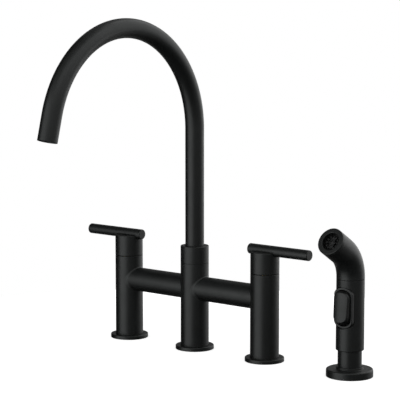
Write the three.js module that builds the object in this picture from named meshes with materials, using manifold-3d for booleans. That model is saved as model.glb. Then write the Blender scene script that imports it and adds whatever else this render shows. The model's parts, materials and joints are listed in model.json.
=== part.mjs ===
// Bridge kitchen faucet with a side spray, in millimetres, +Z up.
// The origin is the middle of the centre post's foot, on the deck. +X runs along the bridge
// towards the side spray, and -Y points at the user, the way the spout reaches.

import * as THREE from 'three';
import { mergeVertices } from 'three/addons/utils/BufferGeometryUtils.js';
import Module from 'manifold-3d';

const wasm = await Module();
wasm.setup();

// ---------------------------------------------------------------- driving dimensions

const CLEARANCE = 0.3; // between pieces that seat on, slide in or turn in each other
const BIG_SIDES = 32; // sides of the round pieces that show
const SMALL_SIDES = 16; // sides of the round pieces inside
const PIN_SIDES = 10; // sides of pins, screws and their holes
const HOLE_SIDES = 5; // sides of the water holes in the screen and the nozzle plate
const KEY_SIDES = 6; // sides of a set screw's hexagon socket
const RUBBER_SIDES = 6; // sides of the O-ring's section
const WIRE_SIDES = 4; // sides of spring wire
const WIRE_STEPS = 8; // steps in one turn of a spring
const PAD_STEPS = 8; // steps in the round end of the button and its bezel
const OVERCUT = 1.0; // how far a cutting shape passes the surface that it cuts
const MERGE_DISTANCE = 1e-4; // corners nearer to each other than this are one

// Posts: two valve posts and the centre post, each with a flange on the deck.
const POST_SPACING = 101.6;
const POST_RADIUS = 16.2;
const POST_WALL = 4.0;
const FLANGE_RADIUS = 22.1;
const FLANGE_HEIGHT = 4.4;
const FLANGE_CHAMFER = 0.6;
const GASKET_INNER_MARGIN = 1.8; // flange metal between the gasket's groove and the bore
const GASKET_WIDTH = 2.4;
const GASKET_HEIGHT = 1.2;

// Bridge tubes between the posts.
const BRIDGE_AXIS_Z = 70.9;
const BRIDGE_RADIUS = 13.9;
const BRIDGE_WALL = 2.4;
const PORT_RADIUS = 8.5;

// Handles: a cap that turns on the valve post, with a lever bar in a saddle across its top.
const HANDLE_SEAM_Z = 98.8;
const HANDLE_SEAM_WIDTH = 0.5;
const CAP_HEIGHT = 23.7;
const CAP_WALL = 2.7;
const CAP_CHAMFER = 0.5;
const CAP_ROOM_RISE = 1.0; // from the cartridge's neck to the roof of the room round it
const LEVER_RADIUS = 5.9;
const LEVER_SINK = 4.2; // how far the bar's underside lies below the cap's top
const LEVER_LONG_END = 61.2;
const LEVER_SHORT_END = 21.0;
const LEVER_CHAMFER = 0.6;
const SET_SCREW_RADIUS = 1.9;
const SET_SCREW_DROP = 13.0; // from the cap's top down to the screw's axis
const SET_SCREW_LENGTH = 9.5;
const SET_SCREW_KEY_RADIUS = 1.1;
const SET_SCREW_KEY_DEPTH = 2.5;

// Valve cartridge with two ceramic discs.
const SOCKET_DEPTH = 11.1; // from the post's top to the ledge that carries the cartridge
const SOCKET_WALL = 2.5;
const CARTRIDGE_RADIUS = 10.2;
const CARTRIDGE_WALL = 1.9;
const CARTRIDGE_FLANGE_HEIGHT = 3.0;
const CARTRIDGE_ROOF = 1.0; // metal between the disc chamber and the flange
const CARTRIDGE_NECK_RADIUS = 8.8;
const CARTRIDGE_NECK_RISE = 4.2; // how far the neck stands above the post's top
const CARTRIDGE_WINDOW_WIDTH = 7.0;
const NUT_HEIGHT = 7.0;
const NUT_SLOT_WIDTH = 3.0;
const NUT_SLOT_DEPTH = 2.0;
const STEM_RADIUS = 3.9;
const STEM_FLAT = 3.0; // from the axis to the flat that the set screw presses on
const STEM_REACH = 12.4; // from the top of the neck to the top of the stem
const DISC_HEIGHT = 2.7;
const DISC_PORT_RADIUS = 2.0;
const DISC_PORT_OFFSET = 4.0;
const DRIVE_LUG_WIDTH = 2.4;
const DRIVE_LUG_DEPTH = 1.5;
const DRIVE_LUG_INNER = 5.6;
const SEAL_HEIGHT = 2.7;
const SEAL_BORE = 5.0;

// Risers inside the posts, from the deck up to the valves and down from the diverter.
const RISER_RADIUS = 6.5;
const RISER_WALL = 1.5;
const RISER_COLLAR_HEIGHT = 14.0;
const RISER_RIM_RADIUS = 9.0;
const RISER_RIM_HEIGHT = 2.0;

// Centre post: neck, collar and the bearings of the swivelling spout.
const COLLAR_SEAM_Z = 100.2;
const COLLAR_HEIGHT = 19.5;
const COLLAR_CHAMFER = 0.7;
const COLLAR_LIP_HEIGHT = 1.6;
const NECK_HEIGHT = 6.8;
const NECK_WALL = 1.4;
const BEARING_WALL = 1.65; // wall of the bushes and section of the O-ring
const SEAT_LAND = 2.0; // metal between the bridge ports and the ledge above them
const LOWER_BUSH_LENGTH = 10.0;
const SNAP_RING_HEIGHT = 1.2;
const SNAP_RING_DEPTH = 0.75; // depth of the ring's groove in the spout
const SNAP_RING_SPLIT = 5.0;

// Diverter, which sends the water to the spray when the spray is open.
const DIVERTER_RADIUS = 9.0;
const DIVERTER_WALL = 1.7;
const DIVERTER_LENGTH = 30.6;
const DIVERTER_FLOOR = 2.5;
const DIVERTER_FLANGE_HEIGHT = 2.9;
const DIVERTER_OUTLET_RADIUS = 4.0;
const DIVERTER_INLET_RADIUS = 5.5;
const DIVERTER_WINDOW_BELOW = 7.9; // from the bridge's axis down to the windows' foot
const DIVERTER_WINDOW_ABOVE = 3.1;
const DIVERTER_WINDOW_WIDTH = 7.0;
const PISTON_HEIGHT = 6.0;
const PISTON_STEM_RADIUS = 2.2;
const PISTON_STEM_HEIGHT = 6.0;
const DIVERTER_SPRING_RADIUS = 4.6;
const DIVERTER_SPRING_WIRE = 0.6;
const DIVERTER_SPRING_TURNS = 5;

// Spout: a straight rise, one round bend and a short straight end.
const SPOUT_RADIUS = 10.75;
const SPOUT_WALL = 1.4;
const SPOUT_RISE = 133.8; // straight length above the collar
const SPOUT_BEND_RADIUS = 116.1;
const SPOUT_BEND_ANGLE = THREE.MathUtils.degToRad(165.4);
const SPOUT_END_LENGTH = 28.4;
const SPOUT_BEND_STEPS = 24;
const SPOUT_SIDES = 24;
const AERATOR_RECESS = 1.0;
const AERATOR_LENGTH = 9.0;
const AERATOR_WALL = 1.3;
const AERATOR_LEDGE = 1.0;
const AERATOR_SCREEN_DEPTH = 0.8; // from the housing's mouth to the screen
const AERATOR_SCREEN_HEIGHT = 1.2;
const SCREEN_HOLE_RADIUS = 0.8;
const SCREEN_RINGS = [[0, 1], [2.4, 6], [4.9, 12]]; // radius of each ring and how many holes it has
const AERATOR_WASHER_HEIGHT = 1.7;

// Side spray: base on the deck, and the holder that the wand stands in.
const SPRAY_X = 216.9;
const SPRAY_BASE_RADIUS = 25.4;
const SPRAY_BASE_HEIGHT = 8.3;
const SPRAY_BASE_EDGE = 1.2;
const SPRAY_STEP_WIDTH = 1.2;
const SPRAY_STEP_HEIGHT = 2.4;
const HOLDER_RADIUS = 13.0;
const HOLDER_WALL = 2.2;
const HOLDER_TOP_Z = 28.5;
const LINER_WALL = 1.4;
const LINER_FOOT_Z = 6.0;
const LINER_RECESS = 0.4;

// Spray wand: straight handle shell, bent head shell and the pieces inside.
const WAND_RADIUS = 15.2;
const WAND_WALL = 2.4;
const WAND_FLOOR = 3.0;
const WAND_CHAMFER = 0.8;
const WAND_HANDLE_LENGTH = 76.8; // from the wand's foot to the seam
const WAND_BEND_RISE = 2.2; // from the seam to the start of the bend
const WAND_BEND_RADIUS = 35.0;
const WAND_BEND_ANGLE = THREE.MathUtils.degToRad(58.9);
const WAND_BEND_STEPS = 8;
const WAND_END_LENGTH = 24.5;
const JOINT_SLEEVE_WALL = 1.2;
const JOINT_SLEEVE_LENGTH = 8.0;
const JOINT_SLEEVE_RISE = 3.0; // how far the sleeve reaches above the seam
const HOSE_STEM_RADIUS = 7.4;
const HOSE_STEM_BORE = 4.0;
const HOSE_STEM_FOOT_Z = 12.0;
const HOSE_STEM_FLANGE_HEIGHT = 4.0;
const FACE_LIP = 2.0;
const FACE_SPIGOT = 3.0;
const FACE_OPENING_RADIUS = 9.8;
const FACE_CHAMFER = 0.8;
const PLATE_HEIGHT = 2.3;
const PLATE_RISE = 1.4;
const NOZZLE_RADIUS = 0.6;
const NOZZLE_RINGS = [[3.2, 6], [6.6, 12]]; // radius of each ring and how many holes it has
const WATERWAY_RADIUS = 5.0;
const WATERWAY_WALL = 1.2;
const WATERWAY_FLANGE_HEIGHT = 2.2;

// Spray button, its pivot pin and the valve that it opens.
const BUTTON_HALF_WIDTH = 10.3;
const BUTTON_LENGTH = 38.5;
const BUTTON_DROP = 10.1; // from the seam down to the button's top
const BUTTON_GAP = 0.5;
const BUTTON_LOW_GAP = 1.0; // more room below, where the button swings past the bezel
const BUTTON_RISE_HIGH = 3.5; // how far the button's top stands out of the wand
const BUTTON_RISE_LOW = 4.2;
const BUTTON_BACK_RADIUS = 14.0;
const BEZEL_SIDE_MARGIN = 2.0; // from the button's edge to the bezel's
const BEZEL_END_MARGIN = 3.5;
const BEZEL_RISE = 1.1;
const PIN_RADIUS = 1.0;
const PIN_HALF_LENGTH = 10.6;
const PIN_Y = -10.0;
const PIN_DROP = 4.5; // from the button's top down to the pin's axis
const LUG_HALF_WIDTH = 5.5;
const LUG_HALF_HEIGHT = 2.3;
const LUG_BACK = 1.6; // from the pin's axis to the back of the lug
const VALVE_BODY_RADIUS = 7.5;
const VALVE_BODY_RING_HEIGHT = 2.0;
const VALVE_BOSS_RADIUS = 4.6;
const VALVE_BOSS_Y = -9.4;
const PLUNGER_DROP = 20.0; // from the pin's axis down to the plunger's
const PLUNGER_RADIUS = 1.5;
const PLUNGER_HEAD_RADIUS = 3.2;
const PLUNGER_HEAD_HEIGHT = 1.2;
const PLUNGER_REACH = 13.4; // length of the plunger's stem
const PLUNGER_VALVE_RADIUS = 2.8;
const PLUNGER_VALVE_HEIGHT = 1.5;
const VALVE_SPRING_RADIUS = 2.4;
const VALVE_SPRING_WIRE = 0.3;
const VALVE_SPRING_TURNS = 3;

// Colours, roughness and metalness of the finishes.
const FINISHES = {
  matteBlack: { color: 0x2b2d2c, roughness: 0.45, metalness: 0.3 },
  brass: { color: 0xb5934f, roughness: 0.35, metalness: 1.0 },
  steel: { color: 0xb8babb, roughness: 0.3, metalness: 1.0 },
  rubber: { color: 0x141414, roughness: 0.8, metalness: 0.0 },
  ceramic: { color: 0xe9e6de, roughness: 0.25, metalness: 0.0 },
  nylon: { color: 0xd7d3c8, roughness: 0.55, metalness: 0.0 },
  blackPlastic: { color: 0x1c1d1d, roughness: 0.5, metalness: 0.0 },
};

// ---------------------------------------------------------------- shapes and booleans

// A closed geometry as a solid that can be joined and cut.
function solidOf(geometry) {
  const bare = geometry.clone();
  bare.deleteAttribute('normal');
  bare.deleteAttribute('uv');
  const merged = mergeVertices(bare, MERGE_DISTANCE);
  return new wasm.Manifold(new wasm.Mesh({
    numProp: 3,
    vertProperties: merged.attributes.position.array,
    triVerts: new Uint32Array(merged.index.array),
  }));
}

function geometryOf(solid) {
  const mesh = solid.getMesh();
  const geometry = new THREE.BufferGeometry();
  geometry.setAttribute('position', new THREE.BufferAttribute(mesh.vertProperties, 3));
  geometry.setIndex(new THREE.BufferAttribute(mesh.triVerts, 1));
  geometry.computeVertexNormals();
  return geometry;
}

function join(...geometries) {
  return geometryOf(geometries.map(solidOf).reduce((whole, next) => whole.add(next)));
}

function cut(geometry, ...tools) {
  return geometryOf(tools.map(solidOf).reduce((whole, tool) => whole.subtract(tool), solidOf(geometry)));
}

function common(a, b) {
  return geometryOf(solidOf(a).intersect(solidOf(b)));
}

// A profile of [radius, height] points, turned round the Z axis. It runs up the outside and
// down the inside, and closes on itself unless it starts on the axis.
function turned(profile, sides) {
  const points = profile.map(([radius, height]) => new THREE.Vector2(radius, height));
  if (profile[0][0] > 0) points.push(points[0].clone());
  return new THREE.LatheGeometry(points, sides).rotateX(Math.PI / 2);
}

function ring(innerRadius, outerRadius, low, high, sides) {
  return turned([[innerRadius, low], [outerRadius, low], [outerRadius, high], [innerRadius, high]], sides);
}

function disc(radius, low, high, sides) {
  return turned([[0, low], [radius, low], [radius, high], [0, high]], sides);
}

function block(xRange, yRange, zRange) {
  const [width, depth, height] = [xRange, yRange, zRange].map(([low, high]) => high - low);
  const [x, y, z] = [xRange, yRange, zRange].map(([low, high]) => (low + high) / 2);
  return new THREE.BoxGeometry(width, depth, height).translate(x, y, z);
}

function rodAlongX(radius, start, end, y, z, sides) {
  return disc(radius, start, end, sides).rotateY(Math.PI / 2).translate(0, y, z);
}

// A rod along Y, from the far end towards the user's side.
function rodAlongY(radius, start, end, x, z, sides) {
  return disc(radius, start, end, sides).rotateX(-Math.PI / 2).translate(x, 0, z);
}

// Holes or studs in rings round the Z axis.
function ringPattern(rings, makeOne) {
  const made = [];
  for (const [radius, count] of rings) {
    for (let i = 0; i < count; i += 1) {
      const angle = (i / count) * Math.PI * 2;
      made.push(makeOne(radius * Math.cos(angle), radius * Math.sin(angle)));
    }
  }
  return made;
}

// A straight rise along Z, a round bend towards -Y and a straight end. Each straight stretch
// takes one step and the bend takes the others.
class BentPath extends THREE.Curve {
  constructor(footZ, bendZ, bendRadius, bendAngle, endLength, bendSteps) {
    super();
    Object.assign(this, { footZ, bendZ, bendRadius, bendAngle, endLength, bendSteps });
    this.steps = bendSteps + 2;
  }

  angleAt(step) {
    return (THREE.MathUtils.clamp(step - 1, 0, this.bendSteps) / this.bendSteps) * this.bendAngle;
  }

  getPoint(t, target = new THREE.Vector3()) {
    const step = t * this.steps;
    const angle = this.angleAt(step);
    const before = Math.max(1 - step, 0) * (this.bendZ - this.footZ);
    const after = Math.max(step - 1 - this.bendSteps, 0) * this.endLength;
    return target.set(
      0,
      this.bendRadius * (Math.cos(angle) - 1) - after * Math.sin(angle),
      this.bendZ - before + this.bendRadius * Math.sin(angle) + after * Math.cos(angle),
    );
  }

  getTangent(t, target = new THREE.Vector3()) {
    const angle = this.angleAt(t * this.steps);
    return target.set(0, -Math.sin(angle), Math.cos(angle));
  }

  getUtoTmapping(u) {
    return u;
  }
}

function tubeAlong(path, outerRadius, innerRadius, sides) {
  const section = new THREE.Shape().absarc(0, 0, outerRadius, 0, Math.PI * 2, false);
  section.holes.push(new THREE.Path().absarc(0, 0, innerRadius, 0, Math.PI * 2, true));
  return new THREE.ExtrudeGeometry(section, {
    steps: path.steps, curveSegments: sides / 2, extrudePath: path, bevelEnabled: false,
  });
}

// A group whose Z axis leaves the end of a bent path, square to its end face.
function groupAtEnd(path) {
  const group = new THREE.Group();
  group.position.copy(path.getPoint(1));
  group.rotation.x = path.bendAngle;
  return group;
}

class HelixPath extends THREE.Curve {
  constructor(radius, low, high, turns) {
    super();
    Object.assign(this, { radius, low, high, turns });
  }

  getPoint(t, target = new THREE.Vector3()) {
    const angle = t * this.turns * Math.PI * 2;
    const height = THREE.MathUtils.lerp(this.low, this.high, t);
    return target.set(this.radius * Math.cos(angle), this.radius * Math.sin(angle), height);
  }
}

function coilSpring(radius, wireRadius, low, high, turns) {
  const section = new THREE.Shape();
  for (let i = 0; i < WIRE_SIDES; i += 1) {
    const angle = (i / WIRE_SIDES) * Math.PI * 2;
    section.lineTo(wireRadius * Math.cos(angle), wireRadius * Math.sin(angle));
  }
  const path = new HelixPath(radius, low + wireRadius, high - wireRadius, turns);
  const steps = turns * WIRE_STEPS;
  return new THREE.ExtrudeGeometry(section, { steps, extrudePath: path, bevelEnabled: false });
}

// An upright slot outline with round ends, pushed from the wand's axis out towards -Y.
function uprightPad(halfWidth, low, high, reach) {
  const outline = new THREE.Shape();
  outline.absarc(0, high - halfWidth, halfWidth, 0, Math.PI, false);
  outline.absarc(0, low + halfWidth, halfWidth, Math.PI, Math.PI * 2, false);
  const options = { depth: reach, curveSegments: PAD_STEPS, bevelEnabled: false };
  return new THREE.ExtrudeGeometry(outline, options).rotateX(Math.PI / 2);
}

function piece(name, geometry, finish) {
  const mesh = new THREE.Mesh(geometry, new THREE.MeshStandardMaterial(finish));
  mesh.name = name;
  return mesh;
}

// ---------------------------------------------------------------- shared by the posts

const postBore = POST_RADIUS - POST_WALL;

function baseFlange(name) {
  const bore = POST_RADIUS + CLEARANCE;
  const grooveInner = bore + GASKET_INNER_MARGIN;
  const grooveOuter = grooveInner + GASKET_WIDTH + 2 * CLEARANCE;
  const grooveTop = GASKET_HEIGHT + CLEARANCE;
  return piece(name, turned([
    [bore, 0],
    [grooveInner, 0],
    [grooveInner, grooveTop],
    [grooveOuter, grooveTop],
    [grooveOuter, 0],
    [FLANGE_RADIUS, 0],
    [FLANGE_RADIUS, FLANGE_HEIGHT - FLANGE_CHAMFER],
    [FLANGE_RADIUS - FLANGE_CHAMFER, FLANGE_HEIGHT],
    [bore, FLANGE_HEIGHT],
  ], BIG_SIDES), FINISHES.matteBlack);
}

function baseGasket(name, flangeBore) {
  const inner = flangeBore + GASKET_INNER_MARGIN + CLEARANCE;
  return piece(name, ring(inner, inner + GASKET_WIDTH, 0, GASKET_HEIGHT, BIG_SIDES), FINISHES.rubber);
}

// The bridge's port in a post's wall, on the side that direction names.
function bridgePort(direction) {
  const ends = [0, direction * (POST_RADIUS + OVERCUT)].sort((a, b) => a - b);
  return rodAlongX(PORT_RADIUS, ends[0], ends[1], 0, BRIDGE_AXIS_Z, SMALL_SIDES);
}

// A brass riser with a collar that screws into the post's foot and a rim at the top.
function riser(name, topZ) {
  return piece(name, turned([
    [RISER_RADIUS - RISER_WALL, 0],
    [postBore - CLEARANCE, 0],
    [postBore - CLEARANCE, RISER_COLLAR_HEIGHT],
    [RISER_RADIUS, RISER_COLLAR_HEIGHT],
    [RISER_RADIUS, topZ - RISER_RIM_HEIGHT],
    [RISER_RIM_RADIUS, topZ - RISER_RIM_HEIGHT],
    [RISER_RIM_RADIUS, topZ],
    [RISER_RADIUS - RISER_WALL, topZ],
  ], SMALL_SIDES), FINISHES.brass);
}

// ---------------------------------------------------------------- valve column

const socketRadius = POST_RADIUS - SOCKET_WALL;
const ledgeZ = HANDLE_SEAM_Z - SOCKET_DEPTH;
const cartridgeFlangeZ = ledgeZ + CLEARANCE;
const cartridgeFlangeTopZ = cartridgeFlangeZ + CARTRIDGE_FLANGE_HEIGHT;
const chamberRadius = CARTRIDGE_RADIUS - CARTRIDGE_WALL;
const chamberTopZ = cartridgeFlangeZ - CARTRIDGE_ROOF;
const drivePlateZ = chamberTopZ - CLEARANCE - DISC_HEIGHT;
const movingDiscZ = drivePlateZ - CLEARANCE - DISC_HEIGHT;
const fixedDiscZ = movingDiscZ - CLEARANCE - DISC_HEIGHT;
const seatSealZ = fixedDiscZ - CLEARANCE - SEAL_HEIGHT;
const inletRiserTopZ = seatSealZ - CLEARANCE;
const neckTopZ = HANDLE_SEAM_Z + CARTRIDGE_NECK_RISE;
const stemTopZ = neckTopZ + STEM_REACH;
const discRadius = chamberRadius - CLEARANCE;
const capFootZ = HANDLE_SEAM_Z + HANDLE_SEAM_WIDTH;
const capTopZ = capFootZ + CAP_HEIGHT;
const leverZ = capTopZ + LEVER_RADIUS - LEVER_SINK;
const setScrewZ = capTopZ - SET_SCREW_DROP;

function valvePost(name, inward) {
  const shell = turned([
    [postBore, 0],
    [POST_RADIUS, 0],
    [POST_RADIUS, HANDLE_SEAM_Z],
    [socketRadius, HANDLE_SEAM_Z],
    [socketRadius, ledgeZ],
    [postBore, ledgeZ],
  ], BIG_SIDES);
  return piece(name, cut(shell, bridgePort(inward)), FINISHES.matteBlack);
}

function cartridgeBody(name) {
  const shell = turned([
    [chamberRadius, seatSealZ],
    [CARTRIDGE_RADIUS, seatSealZ],
    [CARTRIDGE_RADIUS, cartridgeFlangeZ],
    [socketRadius - CLEARANCE, cartridgeFlangeZ],
    [socketRadius - CLEARANCE, cartridgeFlangeTopZ],
    [CARTRIDGE_NECK_RADIUS, cartridgeFlangeTopZ],
    [CARTRIDGE_NECK_RADIUS, neckTopZ],
    [STEM_RADIUS + CLEARANCE, neckTopZ],
    [STEM_RADIUS + CLEARANCE, chamberTopZ],
    [chamberRadius, chamberTopZ],
  ], SMALL_SIDES);
  const halfWindow = CARTRIDGE_WINDOW_WIDTH / 2;
  const reach = CARTRIDGE_RADIUS + OVERCUT;
  const windows = block([-reach, reach], [-halfWindow, halfWindow], [fixedDiscZ, drivePlateZ]);
  return piece(name, cut(shell, windows), FINISHES.brass);
}

function discPorts(low) {
  const foot = low - OVERCUT;
  const top = low + DISC_HEIGHT + OVERCUT;
  return ringPattern([[DISC_PORT_OFFSET, 2]], (x, y) => disc(DISC_PORT_RADIUS, foot, top, PIN_SIDES)
    .translate(y, x, 0));
}

// The two slots in the moving disc, or with a negative margin the lugs that drive it.
function driveKeys(margin, low, high) {
  const halfWidth = DRIVE_LUG_WIDTH / 2 + margin;
  return [-1, 1].map((side) => {
    const ends = [side * (DRIVE_LUG_INNER - margin), side * (discRadius - CLEARANCE + 2 * margin)];
    return block(ends.sort((a, b) => a - b), [-halfWidth, halfWidth], [low, high]);
  });
}

function fixedDisc(name) {
  const plain = disc(discRadius, fixedDiscZ, fixedDiscZ + DISC_HEIGHT, SMALL_SIDES);
  return piece(name, cut(plain, ...discPorts(fixedDiscZ)), FINISHES.ceramic);
}

function movingDisc(name) {
  const plain = disc(discRadius - CLEARANCE, movingDiscZ, movingDiscZ + DISC_HEIGHT, SMALL_SIDES);
  const slots = driveKeys(CLEARANCE, drivePlateZ - DRIVE_LUG_DEPTH - 2 * CLEARANCE, drivePlateZ);
  return piece(name, cut(plain, ...discPorts(movingDiscZ), ...slots), FINISHES.ceramic);
}

function valveStem(name) {
  const shaft = turned([
    [0, drivePlateZ],
    [discRadius - CLEARANCE, drivePlateZ],
    [discRadius - CLEARANCE, drivePlateZ + DISC_HEIGHT],
    [STEM_RADIUS, drivePlateZ + DISC_HEIGHT],
    [STEM_RADIUS, stemTopZ],
    [0, stemTopZ],
  ], SMALL_SIDES);
  const flat = block(
    [-STEM_RADIUS, STEM_RADIUS],
    [STEM_FLAT, STEM_RADIUS + OVERCUT],
    [neckTopZ, stemTopZ + OVERCUT],
  );
  const lugs = driveKeys(0, drivePlateZ - DRIVE_LUG_DEPTH, drivePlateZ + DISC_HEIGHT / 2);
  return piece(name, join(cut(shaft, flat), ...lugs), FINISHES.brass);
}

function cartridgeNut(name) {
  const low = cartridgeFlangeTopZ + CLEARANCE;
  const bore = CARTRIDGE_NECK_RADIUS + CLEARANCE;
  const collar = ring(bore, socketRadius - CLEARANCE, low, low + NUT_HEIGHT, SMALL_SIDES);
  const slots = [0, Math.PI / 2].map((turn) => block(
    [-POST_RADIUS, POST_RADIUS],
    [-NUT_SLOT_WIDTH / 2, NUT_SLOT_WIDTH / 2],
    [low + NUT_HEIGHT - NUT_SLOT_DEPTH, low + NUT_HEIGHT + OVERCUT],
  ).rotateZ(turn));
  return piece(name, cut(collar, ...slots), FINISHES.brass);
}

function handleCap(name) {
  const roomTopZ = neckTopZ + CAP_ROOM_RISE;
  const hubBore = STEM_RADIUS + CLEARANCE;
  const hubTopZ = stemTopZ + CLEARANCE;
  const shell = turned([
    [0, hubTopZ],
    [hubBore, hubTopZ],
    [hubBore, roomTopZ],
    [POST_RADIUS - CAP_WALL, roomTopZ],
    [POST_RADIUS - CAP_WALL, capFootZ],
    [POST_RADIUS, capFootZ],
    [POST_RADIUS, capTopZ - CAP_CHAMFER],
    [POST_RADIUS - CAP_CHAMFER, capTopZ],
    [0, capTopZ],
  ], BIG_SIDES);
  // The hub's bore has a flat beside the stem's flat, so that the cap turns the stem.
  const hubFlat = block(
    [-hubBore, hubBore],
    [STEM_FLAT + CLEARANCE, hubBore + OVERCUT],
    [roomTopZ, hubTopZ + OVERCUT],
  );
  const reach = POST_RADIUS + OVERCUT;
  const saddle = rodAlongX(LEVER_RADIUS + CLEARANCE, -reach, reach, 0, leverZ, SMALL_SIDES);
  const screwHole = rodAlongY(SET_SCREW_RADIUS + CLEARANCE, 0, reach, 0, setScrewZ, PIN_SIDES);
  return piece(name, cut(join(shell, hubFlat), saddle, screwHole), FINISHES.matteBlack);
}

function leverBar(name, outward) {
  const bar = turned([
    [0, -LEVER_SHORT_END],
    [LEVER_RADIUS - LEVER_CHAMFER, -LEVER_SHORT_END],
    [LEVER_RADIUS, -LEVER_SHORT_END + LEVER_CHAMFER],
    [LEVER_RADIUS, LEVER_LONG_END - LEVER_CHAMFER],
    [LEVER_RADIUS - LEVER_CHAMFER, LEVER_LONG_END],
    [0, LEVER_LONG_END],
  ], SMALL_SIDES);
  bar.rotateY(Math.PI / 2 * outward).translate(0, 0, leverZ);
  return piece(name, bar, FINISHES.matteBlack);
}

function setScrew(name) {
  const tip = STEM_FLAT + CLEARANCE;
  const head = tip + SET_SCREW_LENGTH;
  const keyFoot = head - SET_SCREW_KEY_DEPTH;
  const shaft = rodAlongY(SET_SCREW_RADIUS, tip, head, 0, setScrewZ, PIN_SIDES);
  const key = rodAlongY(SET_SCREW_KEY_RADIUS, keyFoot, head + OVERCUT, 0, setScrewZ, KEY_SIDES);
  return piece(name, cut(shaft, key), FINISHES.steel);
}

function valveColumn(side, outward) {
  const column = new THREE.Group();
  column.position.x = outward * POST_SPACING;
  column.add(
    baseFlange(`${side}_base_flange`),
    baseGasket(`${side}_base_gasket`, POST_RADIUS + CLEARANCE),
    valvePost(`${side}_valve_post`, -outward),
    riser(`${side}_inlet_riser`, inletRiserTopZ),
    piece(
      `${side}_seat_seal`,
      ring(SEAL_BORE, discRadius, seatSealZ, seatSealZ + SEAL_HEIGHT, SMALL_SIDES),
      FINISHES.rubber,
    ),
    cartridgeBody(`${side}_cartridge_body`),
    cartridgeNut(`${side}_cartridge_nut`),
    fixedDisc(`${side}_fixed_disc`),
    movingDisc(`${side}_moving_disc`),
    valveStem(`${side}_valve_stem`),
    handleCap(`${side}_handle_cap`),
    leverBar(`${side}_lever_bar`, outward),
    setScrew(`${side}_handle_set_screw`),
  );
  return column;
}

// ---------------------------------------------------------------- bridge

// A tube between two posts, its ends cut to the posts' round sides.
function bridgeTube(name, direction) {
  const middle = (direction * POST_SPACING) / 2;
  const tube = ring(
    BRIDGE_RADIUS - BRIDGE_WALL,
    BRIDGE_RADIUS,
    middle - POST_SPACING / 2,
    middle + POST_SPACING / 2,
    BIG_SIDES,
  ).rotateY(Math.PI / 2).translate(0, 0, BRIDGE_AXIS_Z);
  const low = BRIDGE_AXIS_Z - 2 * BRIDGE_RADIUS;
  const high = BRIDGE_AXIS_Z + 2 * BRIDGE_RADIUS;
  const posts = [0, direction * POST_SPACING].map((x) => disc(POST_RADIUS + CLEARANCE, low, high, BIG_SIDES)
    .translate(x, 0, 0));
  return piece(name, cut(tube, ...posts), FINISHES.matteBlack);
}

// ---------------------------------------------------------------- centre column

const centreLedgeZ = BRIDGE_AXIS_Z + PORT_RADIUS + SEAT_LAND;
const bearingInner = SPOUT_RADIUS + CLEARANCE;
const bearingOuter = bearingInner + BEARING_WALL;
const centreSocket = bearingOuter + CLEARANCE;
const neckRadius = centreSocket + NECK_WALL;
const neckTop = COLLAR_SEAM_Z + NECK_HEIGHT;
const collarFootZ = COLLAR_SEAM_Z + CLEARANCE;
const collarTopZ = collarFootZ + COLLAR_HEIGHT;
const oRingZ = centreLedgeZ + CLEARANCE;
const lowerBushZ = oRingZ + BEARING_WALL + CLEARANCE;
const snapRingZ = lowerBushZ + LOWER_BUSH_LENGTH + CLEARANCE;
const upperBushZ = snapRingZ + SNAP_RING_HEIGHT + CLEARANCE;
const upperBushTopZ = collarTopZ - COLLAR_LIP_HEIGHT - CLEARANCE;
const diverterFlangeTopZ = centreLedgeZ - CLEARANCE;
const diverterFlangeZ = diverterFlangeTopZ - DIVERTER_FLANGE_HEIGHT;
const diverterBore = DIVERTER_RADIUS - DIVERTER_WALL;
const diverterFootZ = diverterFlangeTopZ - DIVERTER_LENGTH;
const pistonZ = diverterFootZ + DIVERTER_FLOOR + CLEARANCE;

function centrePost() {
  const shell = turned([
    [postBore, 0],
    [POST_RADIUS, 0],
    [POST_RADIUS, COLLAR_SEAM_Z],
    [neckRadius, COLLAR_SEAM_Z],
    [neckRadius, neckTop],
    [centreSocket, neckTop],
    [centreSocket, centreLedgeZ],
    [postBore, centreLedgeZ],
  ], BIG_SIDES);
  return piece('centre_post', cut(shell, bridgePort(-1), bridgePort(1)), FINISHES.matteBlack);
}

function spoutCollar() {
  return piece('spout_collar', turned([
    [neckRadius + CLEARANCE, collarFootZ],
    [POST_RADIUS, collarFootZ],
    [POST_RADIUS, collarTopZ - COLLAR_CHAMFER],
    [POST_RADIUS - COLLAR_CHAMFER, collarTopZ],
    [bearingInner, collarTopZ],
    [bearingInner, collarTopZ - COLLAR_LIP_HEIGHT],
    [centreSocket, collarTopZ - COLLAR_LIP_HEIGHT],
    [centreSocket, neckTop + CLEARANCE],
    [neckRadius + CLEARANCE, neckTop + CLEARANCE],
  ], BIG_SIDES), FINISHES.matteBlack);
}

function spoutORing() {
  const middle = (bearingInner + bearingOuter) / 2;
  const half = BEARING_WALL / 2;
  const profile = [];
  for (let i = 0; i < RUBBER_SIDES; i += 1) {
    const angle = (i / RUBBER_SIDES) * Math.PI * 2;
    profile.push([middle + half * Math.cos(angle), oRingZ + half + half * Math.sin(angle)]);
  }
  return piece('spout_o_ring', turned(profile, SPOUT_SIDES), FINISHES.rubber);
}

function snapRing() {
  const inner = SPOUT_RADIUS - SNAP_RING_DEPTH + CLEARANCE;
  const top = snapRingZ + SNAP_RING_HEIGHT;
  const whole = ring(inner, bearingOuter - CLEARANCE, snapRingZ, top, SPOUT_SIDES);
  const halfSplit = SNAP_RING_SPLIT / 2;
  const split = block([-halfSplit, halfSplit], [0, POST_RADIUS], [snapRingZ - OVERCUT, top + OVERCUT]);
  return piece('spout_snap_ring', cut(whole, split), FINISHES.steel);
}

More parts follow.
